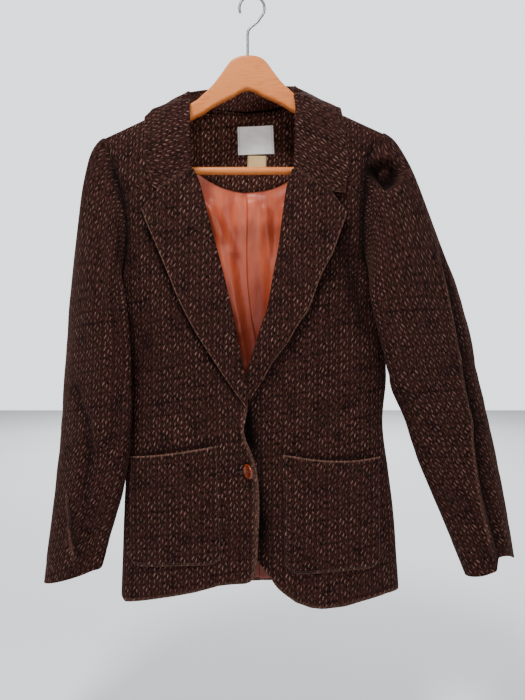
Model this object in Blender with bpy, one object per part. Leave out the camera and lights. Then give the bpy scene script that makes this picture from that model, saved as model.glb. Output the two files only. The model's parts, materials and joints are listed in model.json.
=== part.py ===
"""Velour blazer on a wooden hanger, built panel by panel as it would be cut and sewn.

Metres, +Z up, front faces -Y. The origin is the saddle inside the top of the hanger's hook.
"Right" and "left" are the wearer's. Tables are in millimetres, and MM turns them to metres.
"""

from math import asin, cos, exp, hypot, pi, radians, sin, sqrt

import bmesh
import bpy
import numpy as np

MM = 0.001

# Cloth and clearances, in millimetres.
VELOUR = 2.0
FACING_CLOTH = 1.6
LINING_CLOTH = 1.0
LABEL_CLOTH = 0.8
SEAM_GAP = 0.35
SHOULDER_SEAM = 0.35  # each side of the shoulder seam stands this far from it

# The body's sections: height, the two sides' x, and how far the front and the back stand off.
BODY = (
    # z, right_x, left_x, front, back
    (-100, -226, 206, 44, 52),
    (-203, -222, 204, 46, 54),
    (-300, -205, 190, 54, 55),
    (-360, -192, 176, 58, 54),
    (-405, -183, 171, 59, 51),
    (-445, -177, 174, 58, 47),
    (-487, -172, 184, 56, 43),
    (-530, -169.5, 186, 53, 39),
    (-592, -170, 181, 51, 39),
    (-662, -174.5, 189, 52, 43),
    (-718, -177, 196, 52, 47),
    (-774, -179, 200, 50, 50),
    (-845, -181, 204, 48, 51),
)
SECTION_POWER = 2.5
SHOULDER_DROP = 88.0     # the shoulder rounds over into the front and the back in this height
SHOULDER_FORWARD = 12.0  # the hanger's arms bend this far forward at their ends
CHEST_CENTRE = -8.0

# Shoulder seams: the neck point and the tip, (x, z).
SHOULDER = {"right": ((-94.0, -148.5), (-204.0, -203.0)), "left": ((68.0, -141.0), (182.0, -196.0))}
BACK_NECK_Z = -149.0

# Armholes seen from the front: z of the row, then x of the front and of the back edge.
ARMHOLE = {
    # z, front_x, back_x
    "right": ((-203, -204, -204), (-222, -198, -199), (-251, -190, -193), (-276, -180, -187),
              (-331, -173, -181), (-372, -176, -180), (-395, -181, -182), (-402, -183.2, -183.2)),
    "left": ((-196, 182, 182), (-214, 172, 177), (-237, 160, 170), (-262, 157, 165),
             (-320, 154.6, 162), (-365, 156, 164), (-390, 163, 168), (-400, 171.1, 171.1)),
}
UNDERARM_Z = {"right": -402.0, "left": -400.0}

# Front edges: x of the panel's free or folded edge at each height.
FRONT_EDGE = {
    # z, x
    "right": ((-140, -99), (-200, -99), (-244, -97), (-251, -83), (-272, -73), (-314, -62),
              (-355, -51), (-402, -38.8), (-448, -28), (-494, -19), (-540, -11), (-568, -5.8),
              (-582, -7.5), (-599, -10.5), (-612, -8), (-625, -2.5), (-645, 4.7), (-671, 8.6),
              (-694, 10), (-722, 9.3), (-754, 8.1), (-779, 6.6), (-797, 4)),
    "left": ((-135, 73), (-200, 74), (-244, 74), (-251, 60), (-274, 51.5), (-302, 47), (-356, 40),
             (-402, 31.7), (-441, 24.5), (-462, 17), (-498, 6), (-530, -4.4), (-553, -8),
             (-575, -15), (-700, -16), (-745, -9), (-768, 2), (-781, 10.7), (-791, 19), (-801, 26)),
}
BREAK_Z = -568.0
OVER_LIFT = 3.0    # the right front's edge lies this far out over the left one's
UNDER_DEPTH = 5.8  # and the left one's edge this far in
ROLL_TOP_Z = -253.0

# Hems: z of the lower edge at each x.
HEM = {
    # x, z
    "right": ((-182, -832), (-174, -839), (-124, -828), (-76, -818), (-45, -808.5), (-23, -806),
              (-6, -804), (1, -800), (4.5, -795), (7, -788)),
    "left": ((10, -779), (20, -791), (26, -801), (34, -813), (46, -823), (60, -833), (79, -838.7),
             (97, -840), (125, -838), (150, -832), (184, -825), (204, -824)),
}
BACK_HEM = {
    "right": ((-182, -832), (-90, -835), (11, -831.5)),
    "left": ((11, -831.5), (110, -830), (204, -824)),
}

# Long soft folds on the fronts: two ends (x, z), height (outwards is plus) and half width.
FRONT_FOLDS = {
    # x0, z0, x1, z1, height, half_width
    "right": ((-20, -575, -120, -430, 3.0, 20), (-30, -600, -165, -560, -3.0, 16),
              (-60, -800, -75, -640, 3.0, 22), (-140, -320, -110, -520, 3.0, 22)),
    "left": ((100, -360, 78, -590, 3.5, 13), (125, -380, 110, -560, -3.0, 16),
             (60, -620, 150, -560, -3.0, 14), (140, -640, 165, -800, 3.5, 18),
             (40, -640, 60, -810, 3.0, 20)),
}
BACK_FOLDS = {
    "right": ((-60, -300, -90, -520, 3.0, 24), (-40, -560, -130, -590, -2.5, 16),
              (-110, -640, -120, -820, 3.5, 26)),
    "left": ((70, -300, 95, -520, 3.0, 24), (50, -575, 140, -560, -2.5, 16),
             (125, -640, 140, -820, 3.5, 26)),
}

# Lapels: outer edge from the break up to the tip, then the notch, (x, z).
LAPEL_OUTER = {
    "right": ((-7, -570), (-15, -557), (-34, -530), (-54, -500), (-74, -468), (-94, -428),
              (-107.5, -395), (-121.5, -361), (-135.5, -327), (-142.5, -307.7)),
    "left": ((-3, -560), (14.7, -532), (28.4, -508), (46.4, -484), (62.4, -457), (76, -437),
             (92, -393), (102, -370), (116, -335), (124, -312)),
}
NOTCH = {"right": (-124.0, -280.0), "left": (105.0, -283.0)}
LAPEL_RETURN = 12.0
ROLL_SLANT = 0.25   # the cloth turns at right angles to the roll line
ROLL_RADIUS = 3.6
LAPEL_LIFT = 5.0

# Collar: stations from the wearer's right tip round the back of the neck to the left tip.
# Each has the neck seam, the roll's top and the outer edge of the leaf, as (x, y, z).
# The first and last four lie on the fronts, which give their y.
COLLAR_STATIONS = (
    ((-93, 0, -252.2), (-82.5, 0, -252.2), (-130.5, 0, -277)),
    ((-92.5, 0, -220), (-84.5, 0, -218), (-139, 0, -243)),
    ((-92.5, 0, -190), (-86, 0, -180), (-142.5, 0, -208)),
    ((-92, 0, -163), (-88, 0, -152), (-143.5, 0, -188)),
    ((-90, 2, -146), (-89, 0, -134), (-144, 0, -168)),
    ((-82, 14, -146.5), (-87, 20, -127), (-134, 33, -178)),
    ((-62, 30, -146.5), (-66, 40, -117), (-96, 62, -182)),
    ((-36, 39, -146.5), (-38, 49, -113), (-50, 66, -175)),
    ((-12, 42, -146.5), (-12, 52, -111.5), (-12, 67, -172)),
    ((12, 40, -145.5), (14, 49, -111), (28, 66, -172)),
    ((38, 31, -143.5), (40, 40, -112), (76, 61, -176)),
    ((58, 14, -141), (58, 20, -119), (110, 32, -170)),
    ((64, 2, -138.5), (59.5, 0, -127), (119, 0, -159.5)),
    ((67.5, 0, -154), (61, 0, -144), (121.5, 0, -178)),
    ((68.5, 0, -182), (62, 0, -172), (124.5, 0, -202)),
    ((69, 0, -220), (61, 0, -212), (128, 0, -243)),
    ((70, 0, -252.2), (59.5, 0, -252.2), (124, 0, -284)),
)
STATIONS_ON_FRONT = 4
COLLAR_CLEARANCE = 2.9
RIDGE_CLEARANCE = 3.7  # and this much more on the shoulder seam, where the cloth turns over
GORGE_END_ROWS = 7
WOOD_CLEARANCE = 3.4  # the stand's inner edge rides this far over the hanger's arm
WOOD_MARGIN = 5.0     # and starts to rise this far beside it

# Sleeves below the cap: outer and inner silhouette (x, z), front and back y, and how far the
# section leans forward at its inner side.
SLEEVE = {
    # outer_x, outer_z, inner_x, inner_z, front, back, lean
    "right": ((-261, -430, -170, -440, -62, 44, 1.0), (-264.5, -505, -164.5, -507, -60, 40, 0.9),
              (-270, -590, -165, -589, -55, 40, 0.8), (-273.5, -640, -168.5, -630, -50, 38, 0.7),
              (-280, -705, -180, -690, -45, 36, 0.6), (-287, -768, -194, -745, -42, 34, 0.5),
              (-292.6, -820, -206, -789, -38, 32, 0.45)),
    "left": ((288, -405, 160, -437, -78, 28, 1.1), (305, -468, 178, -496, -74, 27, 1.05),
             (315, -517, 190, -543, -68, 28, 0.95), (325, -560, 205, -583, -62, 29, 0.85),
             (339, -622, 225, -641, -55, 30, 0.75), (353, -690, 252, -703, -48, 31, 0.65),
             (368, -784, 294, -802, -40, 31, 0.5)),
}
SLEEVE_SIDES = 24
SLEEVE_SEAMS = (150.0, 285.0)  # degrees round the sleeve of its inner and its elbow seam
CAP_REACH = {"right": 105.0, "left": 138.0}
UNDERARM_DROP = 30.0

# Creases and ridges down the sleeves: where they start and end down the sleeve (0 cap, 1 cuff),
# round it in degrees (0 outer, 90 front, 180 inner), height (outwards is plus) and half width.
SLEEVE_CREASES = {
    # from_down, to_down, from_round, to_round, height, half_width
    "right": ((0.18, 0.58, 118, 128, 5, 13), (0.24, 0.66, 95, 104, -7, 12),
              (0.62, 0.97, 66, 104, -6, 12), (0.66, 1.0, 112, 134, 5, 12),
              (0.10, 0.36, 60, 72, -4, 12), (0.12, 0.30, 92, 84, 4, 10),
              (0.35, 0.75, 235, 250, -6, 16), (0.55, 0.95, 290, 270, 5, 16)),
    "left": ((0.16, 0.92, 58, 34, 7, 12), (0.18, 1.0, 42, 16, -9, 12),
             (0.30, 0.62, 112, 100, 4, 14), (0.55, 0.60, 60, 100, -5, 9),
             (0.12, 0.36, 88, 80, -4, 12), (0.66, 0.98, 92, 74, -4, 12),
             (0.35, 0.75, 235, 250, -6, 16), (0.55, 0.95, 300, 280, 5, 16)),
}
CAP_DIMPLE = {"centre": (176.0, -236.0), "radius": (22.0, 24.0), "depth": 13.0}

# Patch pockets: four corners as (x, z), the mouth's sag and the bottom corners' radius.
POCKET = {
    "right": {"top": ((-164, -640), (-44.6, -622)), "bottom": ((-167, -787), (-38.5, -778)), "sag": 1.5},
    "left": {"top": ((43, -634), (173, -640)), "bottom": ((46, -793), (174, -786)), "sag": 5.0},
}
POCKET_CORNER = 18.0
POCKET_STANDOFF = 2.9
POCKET_GAPE = 3.5

# Inside the back: the facing's lower edge, and the lining below it.
FACING_EDGE = ((-150, -178), (-120, -200), (-95, -222), (-66, -244), (-38, -257), (-11, -262),
               (22, -258), (54.7, -244), (85, -220), (110, -196), (135, -176))
FACING_INSET = 2.9
LINING_SIDE = {
    "right": ((-200, -168), (-330, -165), (-400, -160), (-560, -152), (-700, -160), (-820, -164)),
    "left": ((-200, 148), (-330, 150), (-400, 153), (-560, 163), (-700, 172), (-820, 186)),
}
LINING_HEM_Z = -826.0
LINING_INSET = 4.2
PLEAT_DEPTH = 5.0
PLEAT_WIDTH = 7.0

LABELS = {
    "label_main": {"size": (53.0, 41.0), "centre": (5.0, -187.0), "tilt": 2.0, "inset": 5.6},
    "label_size": {"size": (27.0, 26.0), "centre": (6.5, -222.6), "tilt": -1.0, "inset": 4.75},
}

BUTTON = {"centre": (-4.5, -654.0), "radius": 10.0, "thickness": 3.2, "turn": 28.0, "seat": -0.45}

# Hanger: distance from its middle, top and bottom z of the shaped wood.
WOOD = (
    # distance, top, bottom
    (0, -82.4, -130.6), (8, -83.0, -132.5), (20, -87, -139.5), (28, -95, -143), (35, -105, -146.5),
    (49, -123, -154), (63, -136.5, -163), (71, -143.5, -167), (82, -149.5, -173), (110, -163, -190),
    (150, -182, -208), (172, -192, -219),
)
WOOD_MIDDLE_X = -6.0
WOOD_THICK = 13.0
WOOD_TILT = 1.5
ARM_BELOW_SEAM = 2.7
ARM_TABLE_END = 172.0
ARM_REACH = 199.0
LOBE_START = 181.0
LOBE_BOTTOM = -254.0
BAR_Z = -245.7
BAR_RADIUS = 5.4
HOOK_WIRE = 1.9
HOOK_LOOP = 17.5
HOOK_SHANK = ((-6.0, -70.0), (-6.0, -60.0), (-6.0, -52.0), (-5.2, -47.0), (-2.0, -42.6), (3.0, -38.6),
              (8.5, -34.0))
HOOK_SWEEP = (-46.0, 202.0)  # degrees round the loop, from below the right side over the top


# ------------------------------------------------------------------ small mathematics


def table_value(table, at, column=1):
    """A table's column at a value of its first column, on a smooth curve through the rows."""
    rows = sorted(table)
    keys = [row[0] for row in rows]
    values = [row[column] for row in rows]
    at = min(max(at, keys[0]), keys[-1])
    i = min(max(int(np.searchsorted(keys, at)) - 1, 0), len(keys) - 2)
    step = keys[i + 1] - keys[i]
    u = (at - keys[i]) / step
    slope = [tangent(keys, values, k) * step for k in (i, i + 1)]
    return hermite(values[i], values[i + 1], slope[0], slope[1], u)


def tangent(keys, values, k):
    """The limited slope at a row, so that the curve never swings past its rows."""
    if k in (0, len(keys) - 1):
        return 0.0 if len(keys) > 2 else (values[-1] - values[0]) / (keys[-1] - keys[0])
    before = (values[k] - values[k - 1]) / (keys[k] - keys[k - 1])
    after = (values[k + 1] - values[k]) / (keys[k + 1] - keys[k])
    return 0.0 if before * after <= 0 else 2 * before * after / (before + after)


def line_value(table, at):
    """A table's second column at a value of its first, with straight runs between the rows."""
    rows = sorted(table)
    return float(np.interp(at, [row[0] for row in rows], [row[1] for row in rows]))


def hermite(a, b, slope_a, slope_b, u):
    return (a * (2 * u**3 - 3 * u**2 + 1) + slope_a * (u**3 - 2 * u**2 + u)
            + b * (3 * u**2 - 2 * u**3) + slope_b * (u**3 - u**2))


def smooth(edge0, edge1, value):
    u = min(max((value - edge0) / (edge1 - edge0), 0.0), 1.0)
    return u * u * (3 - 2 * u)


def unit(vector):
    return np.asarray(vector, float) / max(np.linalg.norm(vector), 1e-9)


def bump(distance, half_width):
    return exp(-((distance / half_width) ** 2))


def length_keys(points):
    steps = np.linalg.norm(np.diff(np.asarray(points, float), axis=0), axis=1)
    return np.concatenate([[0.0], np.cumsum(steps)]) / steps.sum()


def along_points(points, u, keys=None):
    """A point on the smooth curve through points, at u from 0 to 1 of its length."""
    points = np.asarray(points, float)
    keys = length_keys(points) if keys is None else keys
    i = min(max(int(np.searchsorted(keys, u)) - 1, 0), len(points) - 2)
    before = points[max(i - 1, 0)]
    after = points[min(i + 2, len(points) - 1)]
    share = (u - keys[i]) / (keys[i + 1] - keys[i])
    return hermite(points[i], points[i + 1], (points[i + 1] - before) / 2, (after - points[i]) / 2, share)


def fold_height(folds, x, z):
    """How far a panel's long folds lift the point (x, z)."""
    height = 0.0
    for x0, z0, x1, z1, rise, half_width in folds:
        run = np.array([x1 - x0, z1 - z0], float)
        u = float(np.dot([x - x0, z - z0], run) / np.dot(run, run))
        inside = min(max(u, 0.0), 1.0)
        off = hypot(x - x0 - inside * run[0], z - z0 - inside * run[1])
        height += rise * bump(off, half_width) * sin(pi * min(max(inside, 0.06), 0.94)) ** 0.5
    return height


# ------------------------------------------------------------------ the garment's surface


def side_of(x):
    return "right" if x < CHEST_CENTRE else "left"


def section(z):
    """Centre, half width, and front and back depth of the body at a height."""
    right_x, left_x, front, back = (table_value(BODY, z, column) for column in (1, 2, 3, 4))
    return (right_x + left_x) / 2, (left_x - right_x) / 2, front, back


def shoulder_z(x):
    """The shoulder seam's height at x, carried on in a straight line over the neck."""
    (neck_x, neck_z), (tip_x, tip_z) = SHOULDER[side_of(x)]
    return neck_z + (tip_z - neck_z) * (x - neck_x) / (tip_x - neck_x)


def shoulder_y(x, z):
    """How far forward the shoulder seam lies, fading out down the body."""
    fade = 1 - smooth(0, 150, shoulder_z(x) - z)
    return -SHOULDER_FORWARD * min(abs(x - CHEST_CENTRE) / 205, 1.1) ** 2 * fade


def rounding(x, z):
    """0 on the shoulder seam, 1 below the shoulder."""
    drop = min(max((shoulder_z(x) - z) / SHOULDER_DROP, 0.0), 1.0)
    return sqrt(1 - (1 - drop) ** 2)


def turn_of(x, z):
    """The angle round the body, 0 at its middle and a right angle at its side, of a point x."""
    middle, half, _, _ = section(z)
    share = min(abs(x - middle) / half, 1.0)
    return asin(share ** (SECTION_POWER / 2)) * (1 if x >= middle else -1)


def x_of(turn, z):
    middle, half, _, _ = section(z)
    return middle + half * (1 if turn >= 0 else -1) * abs(sin(turn)) ** (2 / SECTION_POWER)


def overlap_offset(side, x, z):
    """The right front lies over the left one: its edge lifts, and waves between the fastenings."""
    edge = table_value(FRONT_EDGE[side], z)
    inward = (edge - x) if side == "right" else (x - edge)
    below = smooth(BREAK_Z + 95, BREAK_Z + 20, z)
    if side == "left":
        return -UNDER_DEPTH * below * (1 - smooth(20, 70, inward))
    wave = 6.0 * bump(z + 612, 26) + 5.5 * bump(z + 725, 42) - 1.0 * bump(z + 655, 16)
    return (OVER_LIFT + max(wave, -0.8)) * below * (1 - smooth(0, 38, inward))


def panel_y(face, side, turn, x, z):
    """The middle of the cloth's wall, front or back, at a turn and a height."""
    _, _, front, back = section(z)
    across = abs(cos(turn)) ** (2 / SECTION_POWER)
    if face == "front":
        depth = front * across * rounding(x, z)
        rise = fold_height(FRONT_FOLDS[side], x, z) * across + overlap_offset(side, x, z)
        return shoulder_y(x, z) - SHOULDER_SEAM - depth - rise * min(depth / 12, 1)
    depth = back * across * rounding(x, z)
    rise = fold_height(BACK_FOLDS[side], x, z) * across
    return shoulder_y(x, z) + SHOULDER_SEAM + depth + rise * min(depth / 12, 1)


def panel_point(face, side, turn, z):
    x = x_of(turn, z)
    return np.array([x, panel_y(face, side, turn, x, z), z])


def panel_normal(face, side, turn, z):
    """Outward normal of a panel, from its own surface."""
    small_turn, small_z = 0.004, 0.4
    inner = turn - small_turn if turn > 0 else turn + small_turn
    top = shoulder_z(x_of(turn, z))
    low, high = (z - small_z, z) if z > top - small_z else (z - small_z / 2, z + small_z / 2)
    here = panel_point(face, side, turn, z)
    across = (here - panel_point(face, side, inner, z)) * (1 if turn > 0 else -1)
    up = panel_point(face, side, turn, high) - panel_point(face, side, turn, low)
    normal = unit(np.cross(across, up))
    return normal if face == "front" else -normal


def out_from(face, side, x, z, out):
    """The point out from a panel's middle surface at (x, z), along the panel's normal."""
    turn = turn_of(x, z)
    return panel_point(face, side, turn, z) + panel_normal(face, side, turn, z) * out


# ------------------------------------------------------------------ meshes


def link_mesh(name, points, faces, material):
    mesh = bpy.data.meshes.new(name)
    mesh.from_pydata([tuple(np.asarray(p, float) * MM) for p in points], [], faces)
    work = bmesh.new()
    work.from_mesh(mesh)
    bmesh.ops.recalc_face_normals(work, faces=work.faces)
    work.to_mesh(mesh)
    work.free()
    mesh.shade_smooth()
    mesh.set_sharp_from_angle(angle=radians(40))
    piece = bpy.data.objects.new(name, mesh)
    piece.data.materials.append(material)
    bpy.context.scene.collection.objects.link(piece)
    return piece


def grid_normals(grid, closed):
    """Normals of a grid of points, by its rows and columns."""
    down = np.gradient(grid, axis=0)
    if closed:
        round_it = (np.roll(grid, -1, axis=1) - np.roll(grid, 1, axis=1)) / 2
    else:
        round_it = np.gradient(grid, axis=1)
    normals = np.cross(down, round_it)
    lengths = np.linalg.norm(normals, axis=2, keepdims=True)
    return normals / np.maximum(lengths, 1e-9)


def wall(name, grid, thickness, material, normals=None):
    """A closed wall of cloth: a grid of middle points, and half the thickness to each side."""
    grid = np.asarray(grid, float)
    normals = grid_normals(grid, False) if normals is None else np.asarray(normals, float)
    rows, columns = grid.shape[:2]
    outer = (grid + normals * thickness / 2).reshape(-1, 3)
    inner = (grid - normals * thickness / 2).reshape(-1, 3)
    count = rows * columns
    faces = []
    for i in range(rows - 1):
        for j in range(columns - 1):
            a, d = i * columns + j, (i + 1) * columns + j
            faces.append((a, a + 1, d + 1, d))
            faces.append((count + d, count + d + 1, count + a + 1, count + a))
    last = (rows - 1) * columns
    for j in range(columns - 1):
        faces.append((count + j, count + j + 1, j + 1, j))
        faces.append((last + j, last + j + 1, count + last + j + 1, count + last + j))
    for i in range(rows - 1):
        a, b = i * columns, (i + 1) * columns
        c, d = a + columns - 1, b + columns - 1
        faces.append((a, b, count + b, count + a))
        faces.append((count + c, count + d, d, c))
    return link_mesh(name, np.concatenate([outer, inner]), faces, material)


def lofted(name, rings, material):
    """A solid through rings of points, closed at both ends."""
    sides = len(rings[0])
    points = [point for ring in rings for point in ring]
    faces = [tuple(range(sides)), tuple(range(len(points) - sides, len(points)))[::-1]]
    for i in range(len(rings) - 1):
        for j in range(sides):
            k = (j + 1) % sides
            faces.append((i * sides + j, (i + 1) * sides + j, (i + 1) * sides + k, i * sides + k))
    return link_mesh(name, points, faces, material)


def finish(name, colour, roughness, metallic=0.0):
    material = bpy.data.materials.new(name)
    material.use_nodes = True
    shader = material.node_tree.nodes["Principled BSDF"]
    linear = [((c + 0.055) / 1.055) ** 2.4 if c > 0.04045 else c / 12.92
              for c in (int(colour[i:i + 2], 16) / 255 for i in (0, 2, 4))]
    shader.inputs["Base Color"].default_value = (*linear, 1)
    shader.inputs["Roughness"].default_value = roughness
    shader.inputs["Metallic"].default_value = metallic
    material.diffuse_color = (*linear, 1)
    return material


# ------------------------------------------------------------------ fronts and backs


def row_shares(count, crowd):
    """Row heights from 0 at the hem to 1 at the top, closer together towards the top."""
    return [1 - (1 - i / count) ** crowd for i in range(count + 1)]


def panel_grid(face, side, rows, columns):
    """Middle points and normals of a front or back panel, row by row from the hem up."""
    grid, normals = [], []
    for share in row_shares(rows, 1.7):
        row, row_normals = [], []
        for column in range(columns + 1):
            turn, z = panel_place(face, side, share, column / columns)
            row.append(panel_point(face, side, turn, z))
            row_normals.append(panel_normal(face, side, turn, z))
        grid.append(row)
        normals.append(row_normals)
    return np.array(grid), np.array(normals)


def panel_top(face, side, x):
    (neck_x, neck_z), _ = SHOULDER[side]
    over_neck = x > neck_x if side == "right" else x < neck_x
    if face == "back" and over_neck:
        curve = BACK_NECK_Z + (neck_z - BACK_NECK_Z) * smooth(40, 80, abs(x - CHEST_CENTRE))
        return min(curve, shoulder_z(x))
    return shoulder_z(x)


def panel_place(face, side, up, across):
    """Turn and height of a panel's point: up from the hem, across from the middle to the side."""
    sign = -1 if side == "right" else 1
    hem = HEM[side] if face == "front" else BACK_HEM[side]
    z, turn = -830 + 650 * up, sign * 0.5
    for _ in range(12):
        inner = inner_turn(face, side, z)
        turn = inner + (outer_turn(face, side, z) - inner) * across
        x = x_of(turn, z)
        bottom = line_value(hem, x)
        z = bottom + (panel_top(face, side, x) - bottom) * up
    return turn, z


def inner_turn(face, side, z):
    sign = -1 if side == "right" else 1
    if face == "back":
        middle, _, _, _ = section(z)
        return turn_of(middle + sign * SEAM_GAP, z)
    return turn_of(table_value(FRONT_EDGE[side], z), z)


def outer_turn(face, side, z):
    """The side seam below the armhole, and the armhole's edge above it."""
    sign = -1 if side == "right" else 1
    at_side = sign * (pi / 2 - 0.004)
    if z <= UNDERARM_Z[side]:
        return at_side
    column = 1 if face == "front" else 2
    edge = turn_of(table_value(ARMHOLE[side], z, column), z)
    return sign * min(abs(edge), pi / 2 - 0.004)


def make_panels(velour):
    for face, columns, rows in (("front", 13, 26), ("back", 9, 22)):
        for side in ("right", "left"):
            grid, normals = panel_grid(face, side, rows, columns)
            wall(f"{face}_{side}", grid, VELOUR, velour, normals)


# ------------------------------------------------------------------ sleeves


def armhole_ring(side, count):
    """Middle points of the body's cloth round an armhole, with the way out and the normal there."""
    top_z = SHOULDER[side][1][1]
    low_z = UNDERARM_Z[side]
    sign = -1 if side == "right" else 1
    ring = []
    for i in range(count):
        angle = 2 * pi * i / count
        face = "front" if angle <= pi else "back"
        z = (top_z + low_z) / 2 + (top_z - low_z) / 2 * cos(angle)
        z = min(z, top_z - 0.05)
        turn = outer_turn(face, side, z)
        point = panel_point(face, side, turn, z)
        normal = panel_normal(face, side, turn, z)
        ring.append((point, normal))
    places = np.array([point for point, _ in ring])
    normals = np.array([normal for _, normal in ring])
    along = np.roll(places, -1, axis=0) - np.roll(places, 1, axis=0)
    outs = []
    for k in range(count):
        out = unit(np.cross(along[k], normals[k]))
        if k in (0, 1, count - 1):
            out = unit((sign * 0.93, 0, -0.36))
        outs.append(out if out[0] * sign > -0.2 else -out)
    low = np.array([smooth(low_z + 75, low_z + 8, p[2]) for p in places])
    return places, normals, np.array(outs), low


def sleeve_section(side, row, angle):
    """A point of the sleeve's section: angle 0 at its outer side, a quarter turn at its front."""
    outer_x, outer_z, inner_x, inner_z, front, back, lean = row
    stretch = sqrt(1 + lean * lean)
    middle = np.array([(outer_x + inner_x) / 2, (front + back) / 2, (outer_z + inner_z) / 2])
    half = np.array([(outer_x - inner_x) / 2, 0, (outer_z - inner_z) / 2]) / stretch
    depth = np.array([0, (front - back) / 2, 0])
    return middle + half * (cos(angle) - lean * sin(angle)) + depth * sin(angle)


def sleeve_row(side, down):
    """A row of the sleeve's table, at down from 0 (under the cap) to 1 (the cuff)."""
    table = SLEEVE[side]
    keyed = [(i / (len(table) - 1), *row) for i, row in enumerate(table)]
    return [table_value(keyed, down, column) for column in range(1, 8)]


def crease_height(side, down, angle):
    degrees_round = np.degrees(angle) % 360
    height = 0.0
    for start, end, from_round, to_round, rise, half_width in SLEEVE_CREASES[side]:
        share = (down - start) / (end - start)
        if -0.15 < share < 1.15:
            fade = smooth(-0.15, 0.15, share) * (1 - smooth(0.85, 1.15, share))
            centre = from_round + (to_round - from_round) * share
            off = (degrees_round - centre + 180) % 360 - 180
            height += rise * fade * bump(off, half_width)
    return height


def sleeve_grid(side, sides, cap_rows, arm_rows):
    """Middle points of a sleeve from the armhole seam to the cuff."""
    sign = -1 if side == "right" else 1
    places, normals, outs, low = armhole_ring(side, sides)
    first = sleeve_row(side, 0.0)
    grid = []
    for i in range(cap_rows):
        u = (i / cap_rows) ** 1.25
        row = []
        for k in range(sides):
            angle = 2 * pi * k / sides
            away = outs[k] * (0.75 * (1 - low[k])) + normals[k] * (0.7 * (1 - low[k]) + 3.6 * low[k])
            start = places[k] + away
            end = sleeve_section(side, first, angle)
            below = sleeve_section(side, sleeve_row(side, 0.08), angle)
            span = np.linalg.norm(end - start)
            lead = unit(outs[k] * (1 - low[k]) + normals[k] * 0.55 + np.array([sign * 0.25, 0, -0.1]))
            drop = unit(normals[k] * 0.5 + np.array([sign * 0.15, 0, -1.0]))
            reach = CAP_REACH[side] * (0.45 + 0.55 * max(cos(angle), 0))
            reach += (UNDERARM_DROP - reach) * low[k]
            slope_a = unit(lead * (1 - low[k]) + drop * low[k]) * reach
            slope_b = unit(below - end) * span * 0.9
            row.append(hermite(start, end, slope_a, slope_b, u))
        grid.append(row)
    for i in range(arm_rows + 1):
        table_row = sleeve_row(side, i / arm_rows)
        grid.append([sleeve_section(side, table_row, 2 * pi * k / sides) for k in range(sides)])
    grid = np.array(grid)
    total = len(grid) - 1
    facing_out = grid_normals(grid, True)
    centre = grid.mean(axis=1, keepdims=True)
    if np.sum((grid - centre) * facing_out) < 0:
        facing_out = -facing_out
    for i in range(1, len(grid)):
        down = i / total
        calm = smooth(0, 0.14, down)
        for k in range(sides):
            angle = 2 * pi * k / sides
            rise = crease_height(side, down, angle) * calm
            if side == "left" and grid[i, k, 1] < -8:
                rise -= dimple(grid[i, k]) * smooth(0, 0.05, down)
            grid[i, k] += facing_out[i, k] * rise
    return grid


def dimple(point):
    (x, z), (wide, high) = CAP_DIMPLE["centre"], CAP_DIMPLE["radius"]
    return CAP_DIMPLE["depth"] * exp(-(((point[0] - x) / wide) ** 2) - ((point[2] - z) / high) ** 2)


def make_sleeves(velour):
    """Each sleeve is cut as a top and an under sleeve, joined at its inner and its elbow seam."""
    for side in ("right", "left"):
        grid = sleeve_grid(side, SLEEVE_SIDES, 7, 17)
        normals = grid_normals(grid, True)
        inner_seam, elbow_seam = (round(degrees / 360 * SLEEVE_SIDES) for degrees in SLEEVE_SEAMS)
        under = list(range(inner_seam, elbow_seam + 1))
        top = [k % SLEEVE_SIDES for k in range(elbow_seam, inner_seam + SLEEVE_SIDES + 1)]
        for name, columns in ((f"top_sleeve_{side}", top), (f"under_sleeve_{side}", under)):
            piece = grid[:, columns].copy()
            for edge, inward in ((0, 1), (-1, -2)):
                way = piece[:, inward] - piece[:, edge]
                piece[:, edge] += way / np.linalg.norm(way, axis=1, keepdims=True) * SEAM_GAP / 2
            wall(name, piece, VELOUR, velour, normals[:, columns])


# ------------------------------------------------------------------ lapels and collar


def fold_row(side, edge_x, z, end_x, end_z, columns):
    """A lapel row: behind the front's edge, round it, and out over it to the outer edge."""
    away = unit((-1 if side == "right" else 1, 0, -ROLL_SLANT))
    edge = out_from("front", side, edge_x, z, 0.0)
    normal = panel_normal("front", side, turn_of(edge_x, z), z)
    along = unit(away - normal * np.dot(away, normal))
    span = hypot(end_x - edge_x, end_z - z)
    back = min(LAPEL_RETURN, span * 0.5)
    root = edge + along * back
    row = [out_from("front", side, root[0], root[2], -ROLL_RADIUS),
           edge + along * 1.5 - normal * ROLL_RADIUS]
    for degrees in (-50, 0, 50):
        turn = radians(degrees)
        row.append(edge + along * (0.5 - (ROLL_RADIUS + 0.2) * cos(turn)) + normal * ROLL_RADIUS * sin(turn))
    for column in range(columns + 1):
        share = column / columns
        distance = 2.0 + (span - 2.0) * share
        at_x = edge_x + (end_x - edge_x) * distance / span
        at_z = z + (end_z - z) * distance / span
        belly = sin(pi * min(share, 0.5)) ** 2 * 0.55 + 0.45 * share**3
        lift = ROLL_RADIUS + LAPEL_LIFT * min(span / 60, 1) * belly
        row.append(out_from("front", side, at_x, at_z, lift))
    return row


def lapel_rows(side, rows):
    """Ends of each lapel row: a point on the roll line and one on the outer edge."""
    outer = LAPEL_OUTER[side]
    pairs = []
    for i in range(rows + 1):
        u = i / rows
        z = BREAK_Z + 8 + (ROLL_TOP_Z - 0.6 - BREAK_Z - 8) * u
        x = table_value(FRONT_EDGE[side], z)
        edge_x, edge_z = outer_point(outer, u)
        pairs.append((x, z, edge_x, edge_z))
    return pairs


def outer_point(outer, u):
    lifted = [(x, 0.0, z) for x, z in outer]
    point = along_points(lifted, u)
    return point[0], point[2]


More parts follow.
